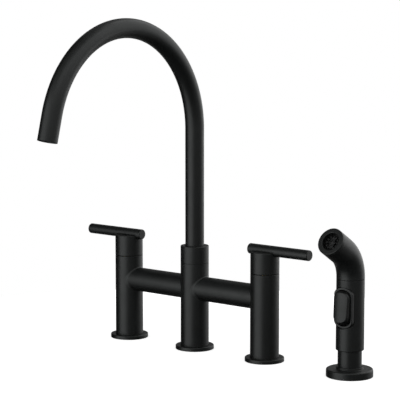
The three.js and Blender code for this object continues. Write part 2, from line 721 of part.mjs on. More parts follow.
function diverterBody() {
  const shell = turned([
    [DIVERTER_OUTLET_RADIUS, diverterFootZ],
    [DIVERTER_RADIUS, diverterFootZ],
    [DIVERTER_RADIUS, diverterFlangeZ],
    [postBore - CLEARANCE, diverterFlangeZ],
    [postBore - CLEARANCE, diverterFlangeTopZ],
    [DIVERTER_INLET_RADIUS, diverterFlangeTopZ],
    [DIVERTER_INLET_RADIUS, diverterFlangeZ],
    [diverterBore, diverterFlangeZ],
    [diverterBore, diverterFootZ + DIVERTER_FLOOR],
    [DIVERTER_OUTLET_RADIUS, diverterFootZ + DIVERTER_FLOOR],
  ], SMALL_SIDES);
  const half = DIVERTER_WINDOW_WIDTH / 2;
  const reach = DIVERTER_RADIUS + OVERCUT;
  const windows = [0, Math.PI / 2].map((turn) => block(
    [-reach, reach],
    [-half, half],
    [BRIDGE_AXIS_Z - DIVERTER_WINDOW_BELOW, BRIDGE_AXIS_Z + DIVERTER_WINDOW_ABOVE],
  ).rotateZ(turn));
  return piece('diverter_body', cut(shell, ...windows), FINISHES.brass);
}

function diverterPiston() {
  const shoulder = pistonZ + PISTON_HEIGHT;
  return piece('diverter_piston', turned([
    [0, pistonZ],
    [diverterBore - CLEARANCE, pistonZ],
    [diverterBore - CLEARANCE, shoulder],
    [PISTON_STEM_RADIUS, shoulder],
    [PISTON_STEM_RADIUS, shoulder + PISTON_STEM_HEIGHT],
    [0, shoulder + PISTON_STEM_HEIGHT],
  ], SMALL_SIDES), FINISHES.nylon);
}

function centreColumn() {
  const column = new THREE.Group();
  column.add(
    baseFlange('centre_base_flange'),
    baseGasket('centre_base_gasket', POST_RADIUS + CLEARANCE),
    centrePost(),
    riser('spray_outlet_riser', diverterFootZ - CLEARANCE),
    diverterBody(),
    diverterPiston(),
    piece('diverter_spring', coilSpring(
      DIVERTER_SPRING_RADIUS,
      DIVERTER_SPRING_WIRE,
      pistonZ + PISTON_HEIGHT + CLEARANCE,
      diverterFlangeZ - CLEARANCE,
      DIVERTER_SPRING_TURNS,
    ), FINISHES.steel),
    spoutORing(),
    piece('spout_lower_bush', ring(
      bearingInner,
      bearingOuter,
      lowerBushZ,
      lowerBushZ + LOWER_BUSH_LENGTH,
      SPOUT_SIDES,
    ), FINISHES.nylon),
    piece('spout_upper_bush', ring(
      bearingInner,
      bearingOuter,
      upperBushZ,
      upperBushTopZ,
      SPOUT_SIDES,
    ), FINISHES.nylon),
    spoutCollar(),
  );
  return column;
}

// ---------------------------------------------------------------- spout

function spoutGroup() {
  const path = new BentPath(
    centreLedgeZ + CLEARANCE,
    collarTopZ + SPOUT_RISE,
    SPOUT_BEND_RADIUS,
    SPOUT_BEND_ANGLE,
    SPOUT_END_LENGTH,
    SPOUT_BEND_STEPS,
  );
  const bore = SPOUT_RADIUS - SPOUT_WALL;
  const groove = ring(
    SPOUT_RADIUS - SNAP_RING_DEPTH,
    SPOUT_RADIUS + OVERCUT,
    snapRingZ - CLEARANCE,
    snapRingZ + SNAP_RING_HEIGHT + CLEARANCE,
    SPOUT_SIDES,
  );
  const tube = cut(tubeAlong(path, SPOUT_RADIUS, bore, SPOUT_SIDES), groove);

  const housingRadius = bore - CLEARANCE;
  const housingBore = housingRadius - AERATOR_WALL;
  const mouth = -AERATOR_RECESS;
  const screenTop = mouth - AERATOR_SCREEN_DEPTH;
  const screenFoot = screenTop - AERATOR_SCREEN_HEIGHT;
  const ledge = screenFoot - CLEARANCE;
  const back = mouth - AERATOR_LENGTH;
  const housing = turned([
    [housingBore - AERATOR_LEDGE, back],
    [housingRadius, back],
    [housingRadius, mouth],
    [housingBore, mouth],
    [housingBore, ledge],
    [housingBore - AERATOR_LEDGE, ledge],
  ], SMALL_SIDES);
  const holes = ringPattern(
    SCREEN_RINGS,
    (x, y) => disc(SCREEN_HOLE_RADIUS, screenFoot - OVERCUT, screenTop + OVERCUT, HOLE_SIDES)
      .translate(x, y, 0),
  );
  const screen = cut(disc(housingBore - CLEARANCE, screenFoot, screenTop, SMALL_SIDES), ...holes);
  const washerTop = back - CLEARANCE;
  const washer = ring(
    housingBore - AERATOR_LEDGE,
    housingRadius,
    washerTop - AERATOR_WASHER_HEIGHT,
    washerTop,
    SMALL_SIDES,
  );

  const outlet = groupAtEnd(path);
  outlet.add(
    piece('aerator_housing', housing, FINISHES.blackPlastic),
    piece('aerator_screen', screen, FINISHES.blackPlastic),
    piece('aerator_washer', washer, FINISHES.rubber),
  );
  const group = new THREE.Group();
  group.add(piece('spout_tube', tube, FINISHES.matteBlack), snapRing(), outlet);
  return group;
}

// ---------------------------------------------------------------- side spray

const sprayBaseBore = HOLDER_RADIUS + CLEARANCE;
const linerOuter = HOLDER_RADIUS - HOLDER_WALL - CLEARANCE;
const wandFootZ = HOLDER_TOP_Z + CLEARANCE;
const wandBore = WAND_RADIUS - WAND_WALL;
const wandSeamZ = wandFootZ + WAND_HANDLE_LENGTH;
const jointSleeveTopZ = wandSeamZ + JOINT_SLEEVE_RISE;
const jointSleeveZ = jointSleeveTopZ - JOINT_SLEEVE_LENGTH;
const wandFloorTopZ = wandFootZ + WAND_FLOOR;
const hoseFlangeZ = wandFloorTopZ + CLEARANCE;
const valveFootZ = hoseFlangeZ + HOSE_STEM_FLANGE_HEIGHT + CLEARANCE;
const valveTopZ = jointSleeveZ - CLEARANCE;
const padReach = 2 * WAND_RADIUS; // from the wand's axis past the front of the button
const buttonHighZ = wandSeamZ - BUTTON_DROP;
const buttonLowZ = buttonHighZ - BUTTON_LENGTH;
const pinZ = buttonHighZ - PIN_DROP;
const plungerZ = pinZ - PLUNGER_DROP;
const buttonFaceHigh = WAND_RADIUS + BUTTON_RISE_HIGH;
const buttonFaceLow = WAND_RADIUS + BUTTON_RISE_LOW;
const buttonBackDepth = Math.sqrt(BUTTON_BACK_RADIUS ** 2 - PLUNGER_HEAD_RADIUS ** 2);
const plungerHeadY = -(buttonBackDepth - CLEARANCE); // just clear of the button's hollow back

function sprayBase() {
  const grooveInner = sprayBaseBore + GASKET_INNER_MARGIN;
  const grooveOuter = grooveInner + GASKET_WIDTH + 2 * CLEARANCE;
  const grooveTop = GASKET_HEIGHT + CLEARANCE;
  const stepTop = SPRAY_BASE_HEIGHT + SPRAY_STEP_HEIGHT;
  return piece('spray_base_flange', turned([
    [sprayBaseBore, 0],
    [grooveInner, 0],
    [grooveInner, grooveTop],
    [grooveOuter, grooveTop],
    [grooveOuter, 0],
    [SPRAY_BASE_RADIUS, 0],
    [SPRAY_BASE_RADIUS, SPRAY_BASE_HEIGHT - SPRAY_BASE_EDGE],
    [SPRAY_BASE_RADIUS - SPRAY_BASE_EDGE, SPRAY_BASE_HEIGHT],
    [sprayBaseBore + SPRAY_STEP_WIDTH, SPRAY_BASE_HEIGHT],
    [sprayBaseBore + SPRAY_STEP_WIDTH, stepTop],
    [sprayBaseBore, stepTop],
  ], BIG_SIDES), FINISHES.matteBlack);
}

function handleShell() {
  const shell = turned([
    [HOSE_STEM_RADIUS + CLEARANCE, wandFootZ],
    [WAND_RADIUS - WAND_CHAMFER, wandFootZ],
    [WAND_RADIUS, wandFootZ + WAND_CHAMFER],
    [WAND_RADIUS, wandSeamZ],
    [wandBore, wandSeamZ],
    [wandBore, wandFloorTopZ],
    [HOSE_STEM_RADIUS + CLEARANCE, wandFloorTopZ],
  ], BIG_SIDES);
  const bezelLow = buttonLowZ - BEZEL_END_MARGIN;
  const bezelHigh = buttonHighZ + BEZEL_END_MARGIN;
  const bezel = common(
    uprightPad(BUTTON_HALF_WIDTH + BEZEL_SIDE_MARGIN, bezelLow, bezelHigh, padReach),
    ring(wandBore + CLEARANCE, WAND_RADIUS + BEZEL_RISE, bezelLow - OVERCUT, bezelHigh + OVERCUT, BIG_SIDES),
  );
  const window = uprightPad(
    BUTTON_HALF_WIDTH + BUTTON_GAP,
    buttonLowZ - BUTTON_LOW_GAP,
    buttonHighZ + BUTTON_GAP,
    padReach,
  );
  const pinReach = PIN_HALF_LENGTH + CLEARANCE;
  const pinHole = rodAlongX(PIN_RADIUS + CLEARANCE, -pinReach, pinReach, PIN_Y, pinZ, PIN_SIDES);
  return piece('spray_handle_shell', cut(join(shell, bezel), window, pinHole), FINISHES.matteBlack);
}

function sprayButton() {
  const pad = uprightPad(BUTTON_HALF_WIDTH, buttonLowZ, buttonHighZ, padReach);
  const skin = turned([
    [BUTTON_BACK_RADIUS, buttonLowZ - OVERCUT],
    [buttonFaceLow, buttonLowZ - OVERCUT],
    [buttonFaceHigh, buttonHighZ + OVERCUT],
    [BUTTON_BACK_RADIUS, buttonHighZ + OVERCUT],
  ], BIG_SIDES);
  const lug = block(
    [-LUG_HALF_WIDTH, LUG_HALF_WIDTH],
    [-BUTTON_BACK_RADIUS - OVERCUT, PIN_Y + LUG_BACK],
    [pinZ - LUG_HALF_HEIGHT, pinZ + LUG_HALF_HEIGHT],
  );
  const pinHole = rodAlongX(PIN_RADIUS + CLEARANCE, -WAND_RADIUS, WAND_RADIUS, PIN_Y, pinZ, PIN_SIDES);
  return piece('spray_button', cut(join(common(pad, skin), lug), pinHole), FINISHES.matteBlack);
}

function hoseStem() {
  const flangeTop = hoseFlangeZ + HOSE_STEM_FLANGE_HEIGHT;
  return piece('spray_hose_stem', turned([
    [HOSE_STEM_BORE, HOSE_STEM_FOOT_Z],
    [HOSE_STEM_RADIUS, HOSE_STEM_FOOT_Z],
    [HOSE_STEM_RADIUS, hoseFlangeZ],
    [wandBore - CLEARANCE, hoseFlangeZ],
    [wandBore - CLEARANCE, flangeTop],
    [HOSE_STEM_BORE, flangeTop],
  ], SMALL_SIDES), FINISHES.brass);
}

function sprayValveBody() {
  const ringRadius = wandBore - CLEARANCE;
  const tube = turned([
    [HOSE_STEM_BORE, valveFootZ],
    [ringRadius, valveFootZ],
    [ringRadius, valveFootZ + VALVE_BODY_RING_HEIGHT],
    [VALVE_BODY_RADIUS, valveFootZ + VALVE_BODY_RING_HEIGHT],
    [VALVE_BODY_RADIUS, valveTopZ - VALVE_BODY_RING_HEIGHT],
    [ringRadius, valveTopZ - VALVE_BODY_RING_HEIGHT],
    [ringRadius, valveTopZ],
    [HOSE_STEM_BORE, valveTopZ],
  ], SMALL_SIDES);
  const middleOfWall = -(VALVE_BODY_RADIUS + HOSE_STEM_BORE) / 2;
  const boss = rodAlongY(VALVE_BOSS_RADIUS, VALVE_BOSS_Y, middleOfWall, 0, plungerZ, SMALL_SIDES);
  const bore = rodAlongY(PLUNGER_RADIUS + CLEARANCE, VALVE_BOSS_Y - OVERCUT, 0, 0, plungerZ, PIN_SIDES);
  return piece('spray_valve_body', cut(join(tube, boss), bore), FINISHES.blackPlastic);
}

function sprayPlunger() {
  const stemEnd = plungerHeadY + PLUNGER_REACH;
  const plunger = turned([
    [0, plungerHeadY],
    [PLUNGER_HEAD_RADIUS, plungerHeadY],
    [PLUNGER_HEAD_RADIUS, plungerHeadY + PLUNGER_HEAD_HEIGHT],
    [PLUNGER_RADIUS, plungerHeadY + PLUNGER_HEAD_HEIGHT],
    [PLUNGER_RADIUS, stemEnd - PLUNGER_VALVE_HEIGHT],
    [PLUNGER_VALVE_RADIUS, stemEnd - PLUNGER_VALVE_HEIGHT],
    [PLUNGER_VALVE_RADIUS, stemEnd],
    [0, stemEnd],
  ], SMALL_SIDES);
  plunger.rotateX(-Math.PI / 2).translate(0, 0, plungerZ);
  return piece('spray_plunger', plunger, FINISHES.steel);
}

function plungerSpring() {
  const spring = coilSpring(
    VALVE_SPRING_RADIUS,
    VALVE_SPRING_WIRE,
    plungerHeadY + PLUNGER_HEAD_HEIGHT + CLEARANCE,
    VALVE_BOSS_Y - CLEARANCE,
    VALVE_SPRING_TURNS,
  );
  spring.rotateX(-Math.PI / 2).translate(0, 0, plungerZ);
  return piece('spray_plunger_spring', spring, FINISHES.steel);
}

// The pieces of the bent head, from the seam on the straight handle to the spray face.
function sprayHead() {
  const bendTo = (footZ, endLength) => new BentPath(
    footZ,
    wandSeamZ + WAND_BEND_RISE,
    WAND_BEND_RADIUS,
    WAND_BEND_ANGLE,
    endLength,
    WAND_BEND_STEPS,
  );
  const facePath = bendTo(wandSeamZ + CLEARANCE, WAND_END_LENGTH);
  const shellPath = bendTo(wandSeamZ + CLEARANCE, WAND_END_LENGTH - FACE_LIP - CLEARANCE);
  const shell = tubeAlong(shellPath, WAND_RADIUS, wandBore, BIG_SIDES);

  const inner = wandBore - CLEARANCE;
  const faceRing = turned([
    [FACE_OPENING_RADIUS, -FACE_LIP - FACE_SPIGOT],
    [inner, -FACE_LIP - FACE_SPIGOT],
    [inner, -FACE_LIP],
    [WAND_RADIUS, -FACE_LIP],
    [WAND_RADIUS, -FACE_CHAMFER],
    [WAND_RADIUS - FACE_CHAMFER, 0],
    [FACE_OPENING_RADIUS, 0],
  ], BIG_SIDES);

  const plateTop = -FACE_LIP - FACE_SPIGOT - CLEARANCE;
  const plateFoot = plateTop - PLATE_HEIGHT;
  const plateBlank = turned([
    [0, plateFoot],
    [inner, plateFoot],
    [inner, plateTop],
    [FACE_OPENING_RADIUS - CLEARANCE, plateTop],
    [FACE_OPENING_RADIUS - CLEARANCE, plateTop + PLATE_RISE],
    [0, plateTop + PLATE_RISE],
  ], SMALL_SIDES);
  const nozzles = ringPattern(
    NOZZLE_RINGS,
    (x, y) => disc(NOZZLE_RADIUS, plateFoot - OVERCUT, plateTop + PLATE_RISE + OVERCUT, HOLE_SIDES)
      .translate(x, y, 0),
  );

  const flangeTop = plateFoot - CLEARANCE;
  const flangeFoot = flangeTop - WATERWAY_FLANGE_HEIGHT;
  const waterwayBore = WATERWAY_RADIUS - WATERWAY_WALL;
  const waterwayPath = bendTo(valveTopZ + CLEARANCE, WAND_END_LENGTH + flangeTop);
  const waterwayTube = tubeAlong(waterwayPath, WATERWAY_RADIUS, waterwayBore, SMALL_SIDES);
  const waterwayFlange = ring(waterwayBore + CLEARANCE, inner, flangeFoot, flangeTop, SMALL_SIDES);
  const face = groupAtEnd(facePath);
  face.updateMatrix();
  const waterway = join(waterwayTube, waterwayFlange.applyMatrix4(face.matrix));

  face.add(
    piece('spray_face_ring', faceRing, FINISHES.matteBlack),
    piece('spray_nozzle_plate', cut(plateBlank, ...nozzles), FINISHES.blackPlastic),
  );
  const head = new THREE.Group();
  head.add(
    piece('spray_head_shell', shell, FINISHES.matteBlack),
    piece('spray_waterway_tube', waterway, FINISHES.blackPlastic),
    face,
  );
  return head;
}

function sideSpray() {
  const group = new THREE.Group();
  group.position.x = SPRAY_X;
  group.add(
    sprayBase(),
    baseGasket('spray_base_gasket', sprayBaseBore),
    piece(
      'spray_holder_sleeve',
      ring(HOLDER_RADIUS - HOLDER_WALL, HOLDER_RADIUS, 0, HOLDER_TOP_Z, BIG_SIDES),
      FINISHES.matteBlack,
    ),
    piece(
      'spray_holder_liner',
      ring(linerOuter - LINER_WALL, linerOuter, LINER_FOOT_Z, HOLDER_TOP_Z - LINER_RECESS, SMALL_SIDES),
      FINISHES.nylon,
    ),
    handleShell(),
    piece('spray_joint_sleeve', ring(
      wandBore - CLEARANCE - JOINT_SLEEVE_WALL,
      wandBore - CLEARANCE,
      jointSleeveZ,
      jointSleeveTopZ,
      SMALL_SIDES,
    ), FINISHES.blackPlastic),
    hoseStem(),
    sprayValveBody(),
    sprayPlunger(),
    plungerSpring(),
    sprayButton(),
    piece(
      'spray_button_pin',
      rodAlongX(PIN_RADIUS, -PIN_HALF_LENGTH, PIN_HALF_LENGTH, PIN_Y, pinZ, PIN_SIDES),
      FINISHES.steel,
    ),
    sprayHead(),
  );
  return group;
}

// ---------------------------------------------------------------- the whole faucet

const faucet = new THREE.Group();
faucet.add(
  valveColumn('left', -1),
  valveColumn('right', 1),
  bridgeTube('left_bridge_tube', -1),
  bridgeTube('right_bridge_tube', 1),
  centreColumn(),
  spoutGroup(),
  sideSpray(),
);

export default faucet;
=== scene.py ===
"""Studio model of a bridge kitchen faucet with a side spray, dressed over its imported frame.

Sizes in the dataclass fields are millimetres, as a maker writes them down, and MM turns them into
the metres that Blender works in. +Z is up, +X runs along the bridge towards the side spray, and -Y
points at the user.
"""

import json
import logging
import math
from dataclasses import dataclass
from enum import Enum
from itertools import pairwise
from typing import Callable, Iterable, Sequence

import bmesh
import bpy
from mathutils import Euler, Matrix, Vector


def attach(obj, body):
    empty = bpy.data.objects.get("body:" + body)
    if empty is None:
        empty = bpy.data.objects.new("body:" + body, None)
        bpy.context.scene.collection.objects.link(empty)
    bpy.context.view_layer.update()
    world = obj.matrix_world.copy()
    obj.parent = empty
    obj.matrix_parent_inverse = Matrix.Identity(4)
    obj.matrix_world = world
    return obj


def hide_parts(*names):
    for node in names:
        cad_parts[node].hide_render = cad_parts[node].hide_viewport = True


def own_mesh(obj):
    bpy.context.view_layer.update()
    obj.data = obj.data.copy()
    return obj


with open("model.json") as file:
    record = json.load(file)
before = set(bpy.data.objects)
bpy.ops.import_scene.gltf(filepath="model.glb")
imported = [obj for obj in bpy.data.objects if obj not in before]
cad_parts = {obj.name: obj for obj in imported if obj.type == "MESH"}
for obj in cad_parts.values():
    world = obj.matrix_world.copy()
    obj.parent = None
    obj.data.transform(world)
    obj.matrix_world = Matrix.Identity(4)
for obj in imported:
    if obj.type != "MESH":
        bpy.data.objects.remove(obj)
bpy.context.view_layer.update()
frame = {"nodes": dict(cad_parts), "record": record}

LOG = logging.getLogger("faucet")
MM = 0.001
SCRAP = 0.006  # corners nearer than this, in mm, are one corner
NEAR = 0.01 * MM  # how near a corner has to be to the place that it is picked by

Point = tuple[float, float, float]
Profile = Sequence[tuple[float, float]]


# ---------------------------------------------------------------- names shared with the frame


class Slot(Enum):
    """The record's material slots."""

    MATTE_BLACK = "matte_black"
    BRASS = "brass"
    STEEL = "steel"
    RUBBER = "rubber"
    CERAMIC = "ceramic"
    NYLON = "nylon"
    BLACK_PLASTIC = "black_plastic"


class Body(Enum):
    """The rigid bodies that the pieces ride on."""

    FAUCET = "faucet_body"
    LEFT_HANDLE = "left_handle"
    RIGHT_HANDLE = "right_handle"
    SPOUT = "spout"
    WAND = "spray_wand"
    TRIGGER = "spray_trigger"


class Side(Enum):
    """The two valves, by the sign of their X."""

    LEFT = -1
    RIGHT = 1

    @property
    def word(self) -> str:
        """The side as it stands in the node names."""
        return self.name.lower()

    @property
    def handle(self) -> Body:
        """The body that the handle on this side turns with."""
        return Body.LEFT_HANDLE if self is Side.LEFT else Body.RIGHT_HANDLE


# ---------------------------------------------------------------- the bench


@dataclass(frozen=True)
class Break:
    """A ring edge of a turned piece that is broken with a small round.

    radius and height say where the edge runs, width how much of it is taken off, all in mm.
    """

    radius: float
    height: float
    width: float
    segments: int = 3


@dataclass(frozen=True)
class BentPath:
    """A straight rise along Z, a round bend towards -Y and a straight end, in mm and degrees."""

    foot: float
    bend: float
    radius: float
    angle: float
    end: float
    steps: int

    @property
    def turn(self) -> float:
        """The bend's angle in radians."""
        return math.radians(self.angle)

    @property
    def heading(self) -> Vector:
        """The unit direction in which the straight end leaves."""
        return Vector((0.0, -math.sin(self.turn), math.cos(self.turn)))

    @property
    def tip(self) -> Vector:
        """The middle of the end face, in mm."""
        bent = Vector((0.0, self.radius * (math.cos(self.turn) - 1), self.radius * math.sin(self.turn)))
        return Vector((0.0, 0.0, self.bend)) + bent + self.end * self.heading


def clear_bench() -> None:
    """Leave edit mode and deselect everything."""
    if bpy.context.object is not None and bpy.context.object.mode != "OBJECT":
        bpy.ops.object.mode_set(mode="OBJECT")
    bpy.ops.object.select_all(action="DESELECT")


class Workpiece:
    """One mesh on the bench, shaped with Blender's own edit tools.

    It is turned or bent upright on the Z axis at the world's origin, then cut and joined, and
    `tilt_and_move` bakes its final place into the mesh.
    """

    def __init__(self, obj: bpy.types.Object, name: str) -> None:
        """Take the object that a primitive has just made, under the piece's own name."""
        self.obj = obj
        obj.name = name
        obj.data.name = name

    # -- starting shapes

    @classmethod
    def ring(cls, name: str, radius: float, height: float, sides: int, filled: bool = False) -> "Workpiece":
        """Start from one ring of corners round the Z axis.

        Args:
            name: name of the new object.
            radius: radius of the ring in mm.
            height: height of the ring in mm.
            sides: how many corners the ring has.
            filled: whether a flat face closes it.

        Returns:
            The piece, in edit mode with the ring's edges selected.
        """
        clear_bench()
        bpy.ops.mesh.primitive_circle_add(
            vertices=sides,
            radius=radius * MM,
            location=(0.0, 0.0, height * MM),
            fill_type="NGON" if filled else "NOTHING",
        )
        bpy.ops.object.transform_apply(location=True, rotation=True, scale=True)
        piece = cls(bpy.context.object, name)
        piece.edit()
        bpy.ops.mesh.select_all(action="SELECT")
        return piece

    @classmethod
    def turned(
        cls,
        name: str,
        profile: Profile,
        sides: int = 96,
        hollow: bool = True,
        breaks: Iterable[Break] = (),
    ) -> "Workpiece":
        """Turn a profile round the Z axis, as on a lathe.

        Args:
            name: name of the new object.
            profile: radius and height of each corner, in mm.
            sides: how many facets go round.
            hollow: whether the profile closes on itself. Otherwise flat faces close both ends.
            breaks: the edges that are rounded.

        Returns:
            The closed piece, in object mode.
        """
        (radius, height), *_ = profile
        piece = cls.ring(name, radius, height, sides, filled=not hollow)
        for (radius, height), (next_radius, next_height) in pairwise(profile):
            piece.pull((0.0, 0.0, next_height - height))
            piece.widen(next_radius / radius, (0.0, 0.0, next_height))
        if hollow:
            piece.bridge_open_ends()
        else:
            bpy.ops.mesh.edge_face_add()
        piece.face_outwards()
        for edge in breaks:
            piece.break_ring(edge)
        piece.leave()
        return piece

    @classmethod
    def bent_tube(cls, name: str, path: BentPath, radius: float, wall: float, sides: int) -> "Workpiece":
        """Draw a tube along a bent path.

        Args:
            name: name of the new object.
            path: the line that the tube follows.
            radius: outer radius in mm.
            wall: thickness of the wall in mm.
            sides: how many facets go round.

        Returns:
            The closed tube, in object mode.
        """
        piece = cls.ring(name, radius, path.foot, sides)
        piece.pull((0.0, 0.0, path.bend - path.foot))
        bpy.ops.mesh.spin(
            steps=path.steps,
            angle=-path.turn,
            center=(0.0, -path.radius * MM, path.bend * MM),
            axis=(1.0, 0.0, 0.0),
        )
        piece.pull(tuple(path.end * path.heading))
        bpy.ops.mesh.select_all(action="SELECT")
        bpy.ops.mesh.remove_doubles(threshold=NEAR)
        piece.face_outwards()
        piece.leave()
        piece.apply("SOLIDIFY", thickness=wall * MM, offset=-1.0, use_even_offset=True)
        return piece

    @classmethod
    def curved_pad(
        cls,
        name: str,
        half_width: float,
        low: float,
        high: float,
        front: "Workpiece",
        back: "Workpiece",
        root: tuple[float, float, float] | None = None,
        taper: float = 0.0,
        end_share: float = 1.0,
        rings: int = 7,
    ) -> "Workpiece":
        """Shape an upright pad with round ends, its front and back wrapped on two round surfaces.

        Args:
            name: name of the new object.
            half_width: half the pad's width, and the radius of its ends, in mm.
            low: height of its foot in mm.
            high: height of its top in mm.
            front: the surface that its front follows, which this call uses up.
            back: the surface that its back follows, which this call uses up.
            root: half width, foot and top of its back in mm, where these differ from the front's.
            taper: how much wider the front is at its top than at its foot, as a share of its width.
            end_share: height of its round ends as a share of its half width.
            rings: how many rings of faces lie between the rim and the middle of each side.

        Returns:
            The closed pad, in object mode, facing -Y.
        """
        piece = cls.pad_outline(name, half_width, low, high, end_share)
        for label in ("front", "back"):
            bpy.ops.object.vertex_group_add()
            piece.obj.vertex_groups.active.name = label
        piece.cap_pad(half_width * end_share, low, high, rings, "front")
        bpy.ops.mesh.select_all(action="SELECT")
        bpy.ops.mesh.duplicate()
        piece.obj.vertex_groups.active_index = piece.obj.vertex_groups["front"].index
        bpy.ops.object.vertex_group_remove_from()
        piece.obj.vertex_groups.active_index = piece.obj.vertex_groups["back"].index
        bpy.ops.object.vertex_group_assign()
        bpy.ops.transform.translate(value=(0.0, 2 * MM, 0.0))
        if root:
            wide, foot, top = root
            scale = (wide / half_width, 1.0, (top - foot) / (high - low))
            bpy.ops.transform.resize(value=scale, center_override=(0.0, 0.0, (high + low) / 2 * MM))
            bpy.ops.transform.translate(value=(0.0, 0.0, (top + foot - high - low) / 2 * MM))
        piece.bridge_open_ends()
        piece.face_outwards()
        piece.leave()
        if taper:
            piece.taper(taper, "front", (high + low) / 2)
        for label, surface in (("front", front), ("back", back)):
            piece.wrap(surface, label, axis="y")
            surface.discard()
        return piece

    @classmethod
    def pad_outline(
        cls, name: str, half_width: float, low: float, high: float, end_share: float = 1.0
    ) -> "Workpiece":
        """Draw the outline of an upright pad with round ends, in front of the wand.

        Args:
            name: name of the new object.
            half_width: half the pad's width in mm.
            low: height of its foot in mm.
            high: height of its top in mm.
            end_share: height of its round ends as a share of its half width.

        Returns:
            The outline, in edit mode with all of it selected.
        """
        clear_bench()
        end = half_width * end_share
        middle = low + end
        bpy.ops.mesh.primitive_circle_add(
            vertices=64,
            radius=half_width * MM,
            location=(0.0, -6 * MM, middle * MM),
            rotation=(math.radians(90), 0.0, 0.0),
        )
        bpy.ops.object.transform_apply(location=True, rotation=True, scale=True)
        piece = cls(bpy.context.object, name)
        piece.edit()
        bpy.ops.mesh.select_all(action="SELECT")
        bpy.ops.transform.resize(value=(1.0, 1.0, end_share), center_override=(0.0, 0.0, middle * MM))
        piece.pick_corners(lambda corner: corner.z > middle * MM + NEAR)
        bpy.ops.transform.translate(value=(0.0, 0.0, (high - low - 2 * end) * MM))
        long_side = (high - low) * MM / 4
        piece.pick_edges(lambda a, b: (a - b).length > long_side)
        bpy.ops.mesh.subdivide(number_cuts=9)
        bpy.ops.mesh.select_all(action="SELECT")
        return piece

    def cap_pad(self, end: float, low: float, high: float, rings: int, group: str) -> None:
        """Close a pad's outline with ever narrower rings, and put them in a vertex group.

        Args:
            end: height of the pad's round ends in mm.
            low: height of its foot in mm.
            high: height of its top in mm.
            rings: how many rings of faces lie between the outline and the middle.
            group: name of the group.
        """
        ends = ((low + end, -1), (high - end, 1))
        widths = [1 - ring / (rings + 0.1) for ring in range(rings + 1)]
        for before, after in pairwise(widths):
            factor = after / before
            self.pull((0.0, 0.0, 0.0))
            mesh = bmesh.from_edit_mesh(self.obj.data)
            ring = {corner.index for corner in mesh.verts if corner.select}
            bpy.ops.transform.resize(value=(factor, 1.0, 1.0), center_override=(0.0, 0.0, 0.0))
            for middle, way in ends:
                self.pick_corners(lambda corner: way * (corner.z - middle * MM) > NEAR / 2, ring)
                bpy.ops.transform.resize(
                    value=(1.0, 1.0, factor), center_override=(0.0, 0.0, middle * MM)
                )
            self.pick_corners(lambda corner: True, ring)
            bpy.ops.mesh.select_mode(type="EDGE")
        bpy.ops.mesh.edge_face_add()
        bpy.ops.mesh.select_all(action="SELECT")
        self.obj.vertex_groups.active_index = self.obj.vertex_groups[group].index
        bpy.ops.object.vertex_group_assign()

    # -- edit-mode work

    def edit(self) -> None:
        """Put the piece alone in edit mode, with edges picked."""
        clear_bench()
        self.obj.select_set(True)
        bpy.context.view_layer.objects.active = self.obj
        bpy.ops.object.mode_set(mode="EDIT")
        bpy.ops.mesh.select_mode(type="EDGE")

    def leave(self) -> None:
        """Put the piece back in object mode."""
        bpy.ops.object.mode_set(mode="OBJECT")

    def pull(self, way: Point) -> None:
        """Extrude the picked edges along a way given in mm."""
        bpy.ops.mesh.extrude_edges_move(
            TRANSFORM_OT_translate={"value": tuple(part * MM for part in way)}
        )

    def widen(self, factor: float, middle: Point) -> None:
        """Scale the picked ring about a point on the axis, given in mm."""
        bpy.ops.transform.resize(
            value=(factor, factor, 1.0), center_override=tuple(part * MM for part in middle)
        )

    def bridge_open_ends(self) -> None:
        """Join the two open rings of the mesh with faces."""
        bpy.ops.mesh.select_all(action="DESELECT")
        bpy.ops.mesh.select_non_manifold(
            extend=False,
            use_wire=False,
            use_boundary=True,
            use_multi_face=False,
            use_non_contiguous=False,
            use_verts=False,
        )
        bpy.ops.mesh.bridge_edge_loops()

    def face_outwards(self) -> None:
        """Turn every face of the mesh outwards."""
        bpy.ops.mesh.select_all(action="SELECT")
        bpy.ops.mesh.normals_make_consistent(inside=False)

    def pick_corners(self, test: Callable[[Vector], bool], among: set[int] | None = None) -> None:
        """Select the corners that pass a test, in edit mode, and leave corner picking on.

        Args:
            test: says yes or no to a corner.
            among: the numbers of the corners that it may pick, or None for all.
        """
        bpy.ops.mesh.select_mode(type="VERT")
        bpy.ops.mesh.select_all(action="DESELECT")
        mesh = bmesh.from_edit_mesh(self.obj.data)
        for corner in mesh.verts:
            corner.select = (among is None or corner.index in among) and test(corner.co)
        mesh.select_flush_mode()
        bmesh.update_edit_mesh(self.obj.data)

    def pick_edges(self, test: Callable[[Vector, Vector], bool], sharp: float = 0.0) -> int:
        """Select the edges whose two ends pass a test, in edit mode.

        Args:
            test: says yes or no to the two ends of an edge.
            sharp: the least angle between its two faces, in degrees.

        Returns:
            How many edges are selected.
        """
        bpy.ops.mesh.select_mode(type="EDGE")
        bpy.ops.mesh.select_all(action="DESELECT")
        mesh = bmesh.from_edit_mesh(self.obj.data)
        for edge in mesh.edges:
            ends = [corner.co for corner in edge.verts]
            edge.select = edge.calc_face_angle(math.pi) >= math.radians(sharp) and test(*ends)
        mesh.select_flush_mode()
        bmesh.update_edit_mesh(self.obj.data)
        return sum(edge.select for edge in mesh.edges)

    def break_ring(self, edge: Break) -> None:
        """Round one ring edge of a turned piece, in edit mode."""

        def on_ring(corner: Vector) -> bool:
            """Whether a corner lies on the ring."""
            away = abs(corner.xy.length - edge.radius * MM)
            return away < NEAR and abs(corner.z - edge.height * MM) < NEAR

        if self.pick_edges(lambda a, b: on_ring(a) and on_ring(b)):
            self.bevel(edge.width, edge.segments)
        else:
            LOG.warning("%s has no edge at radius %s, height %s", self.obj.name, edge.radius, edge.height)

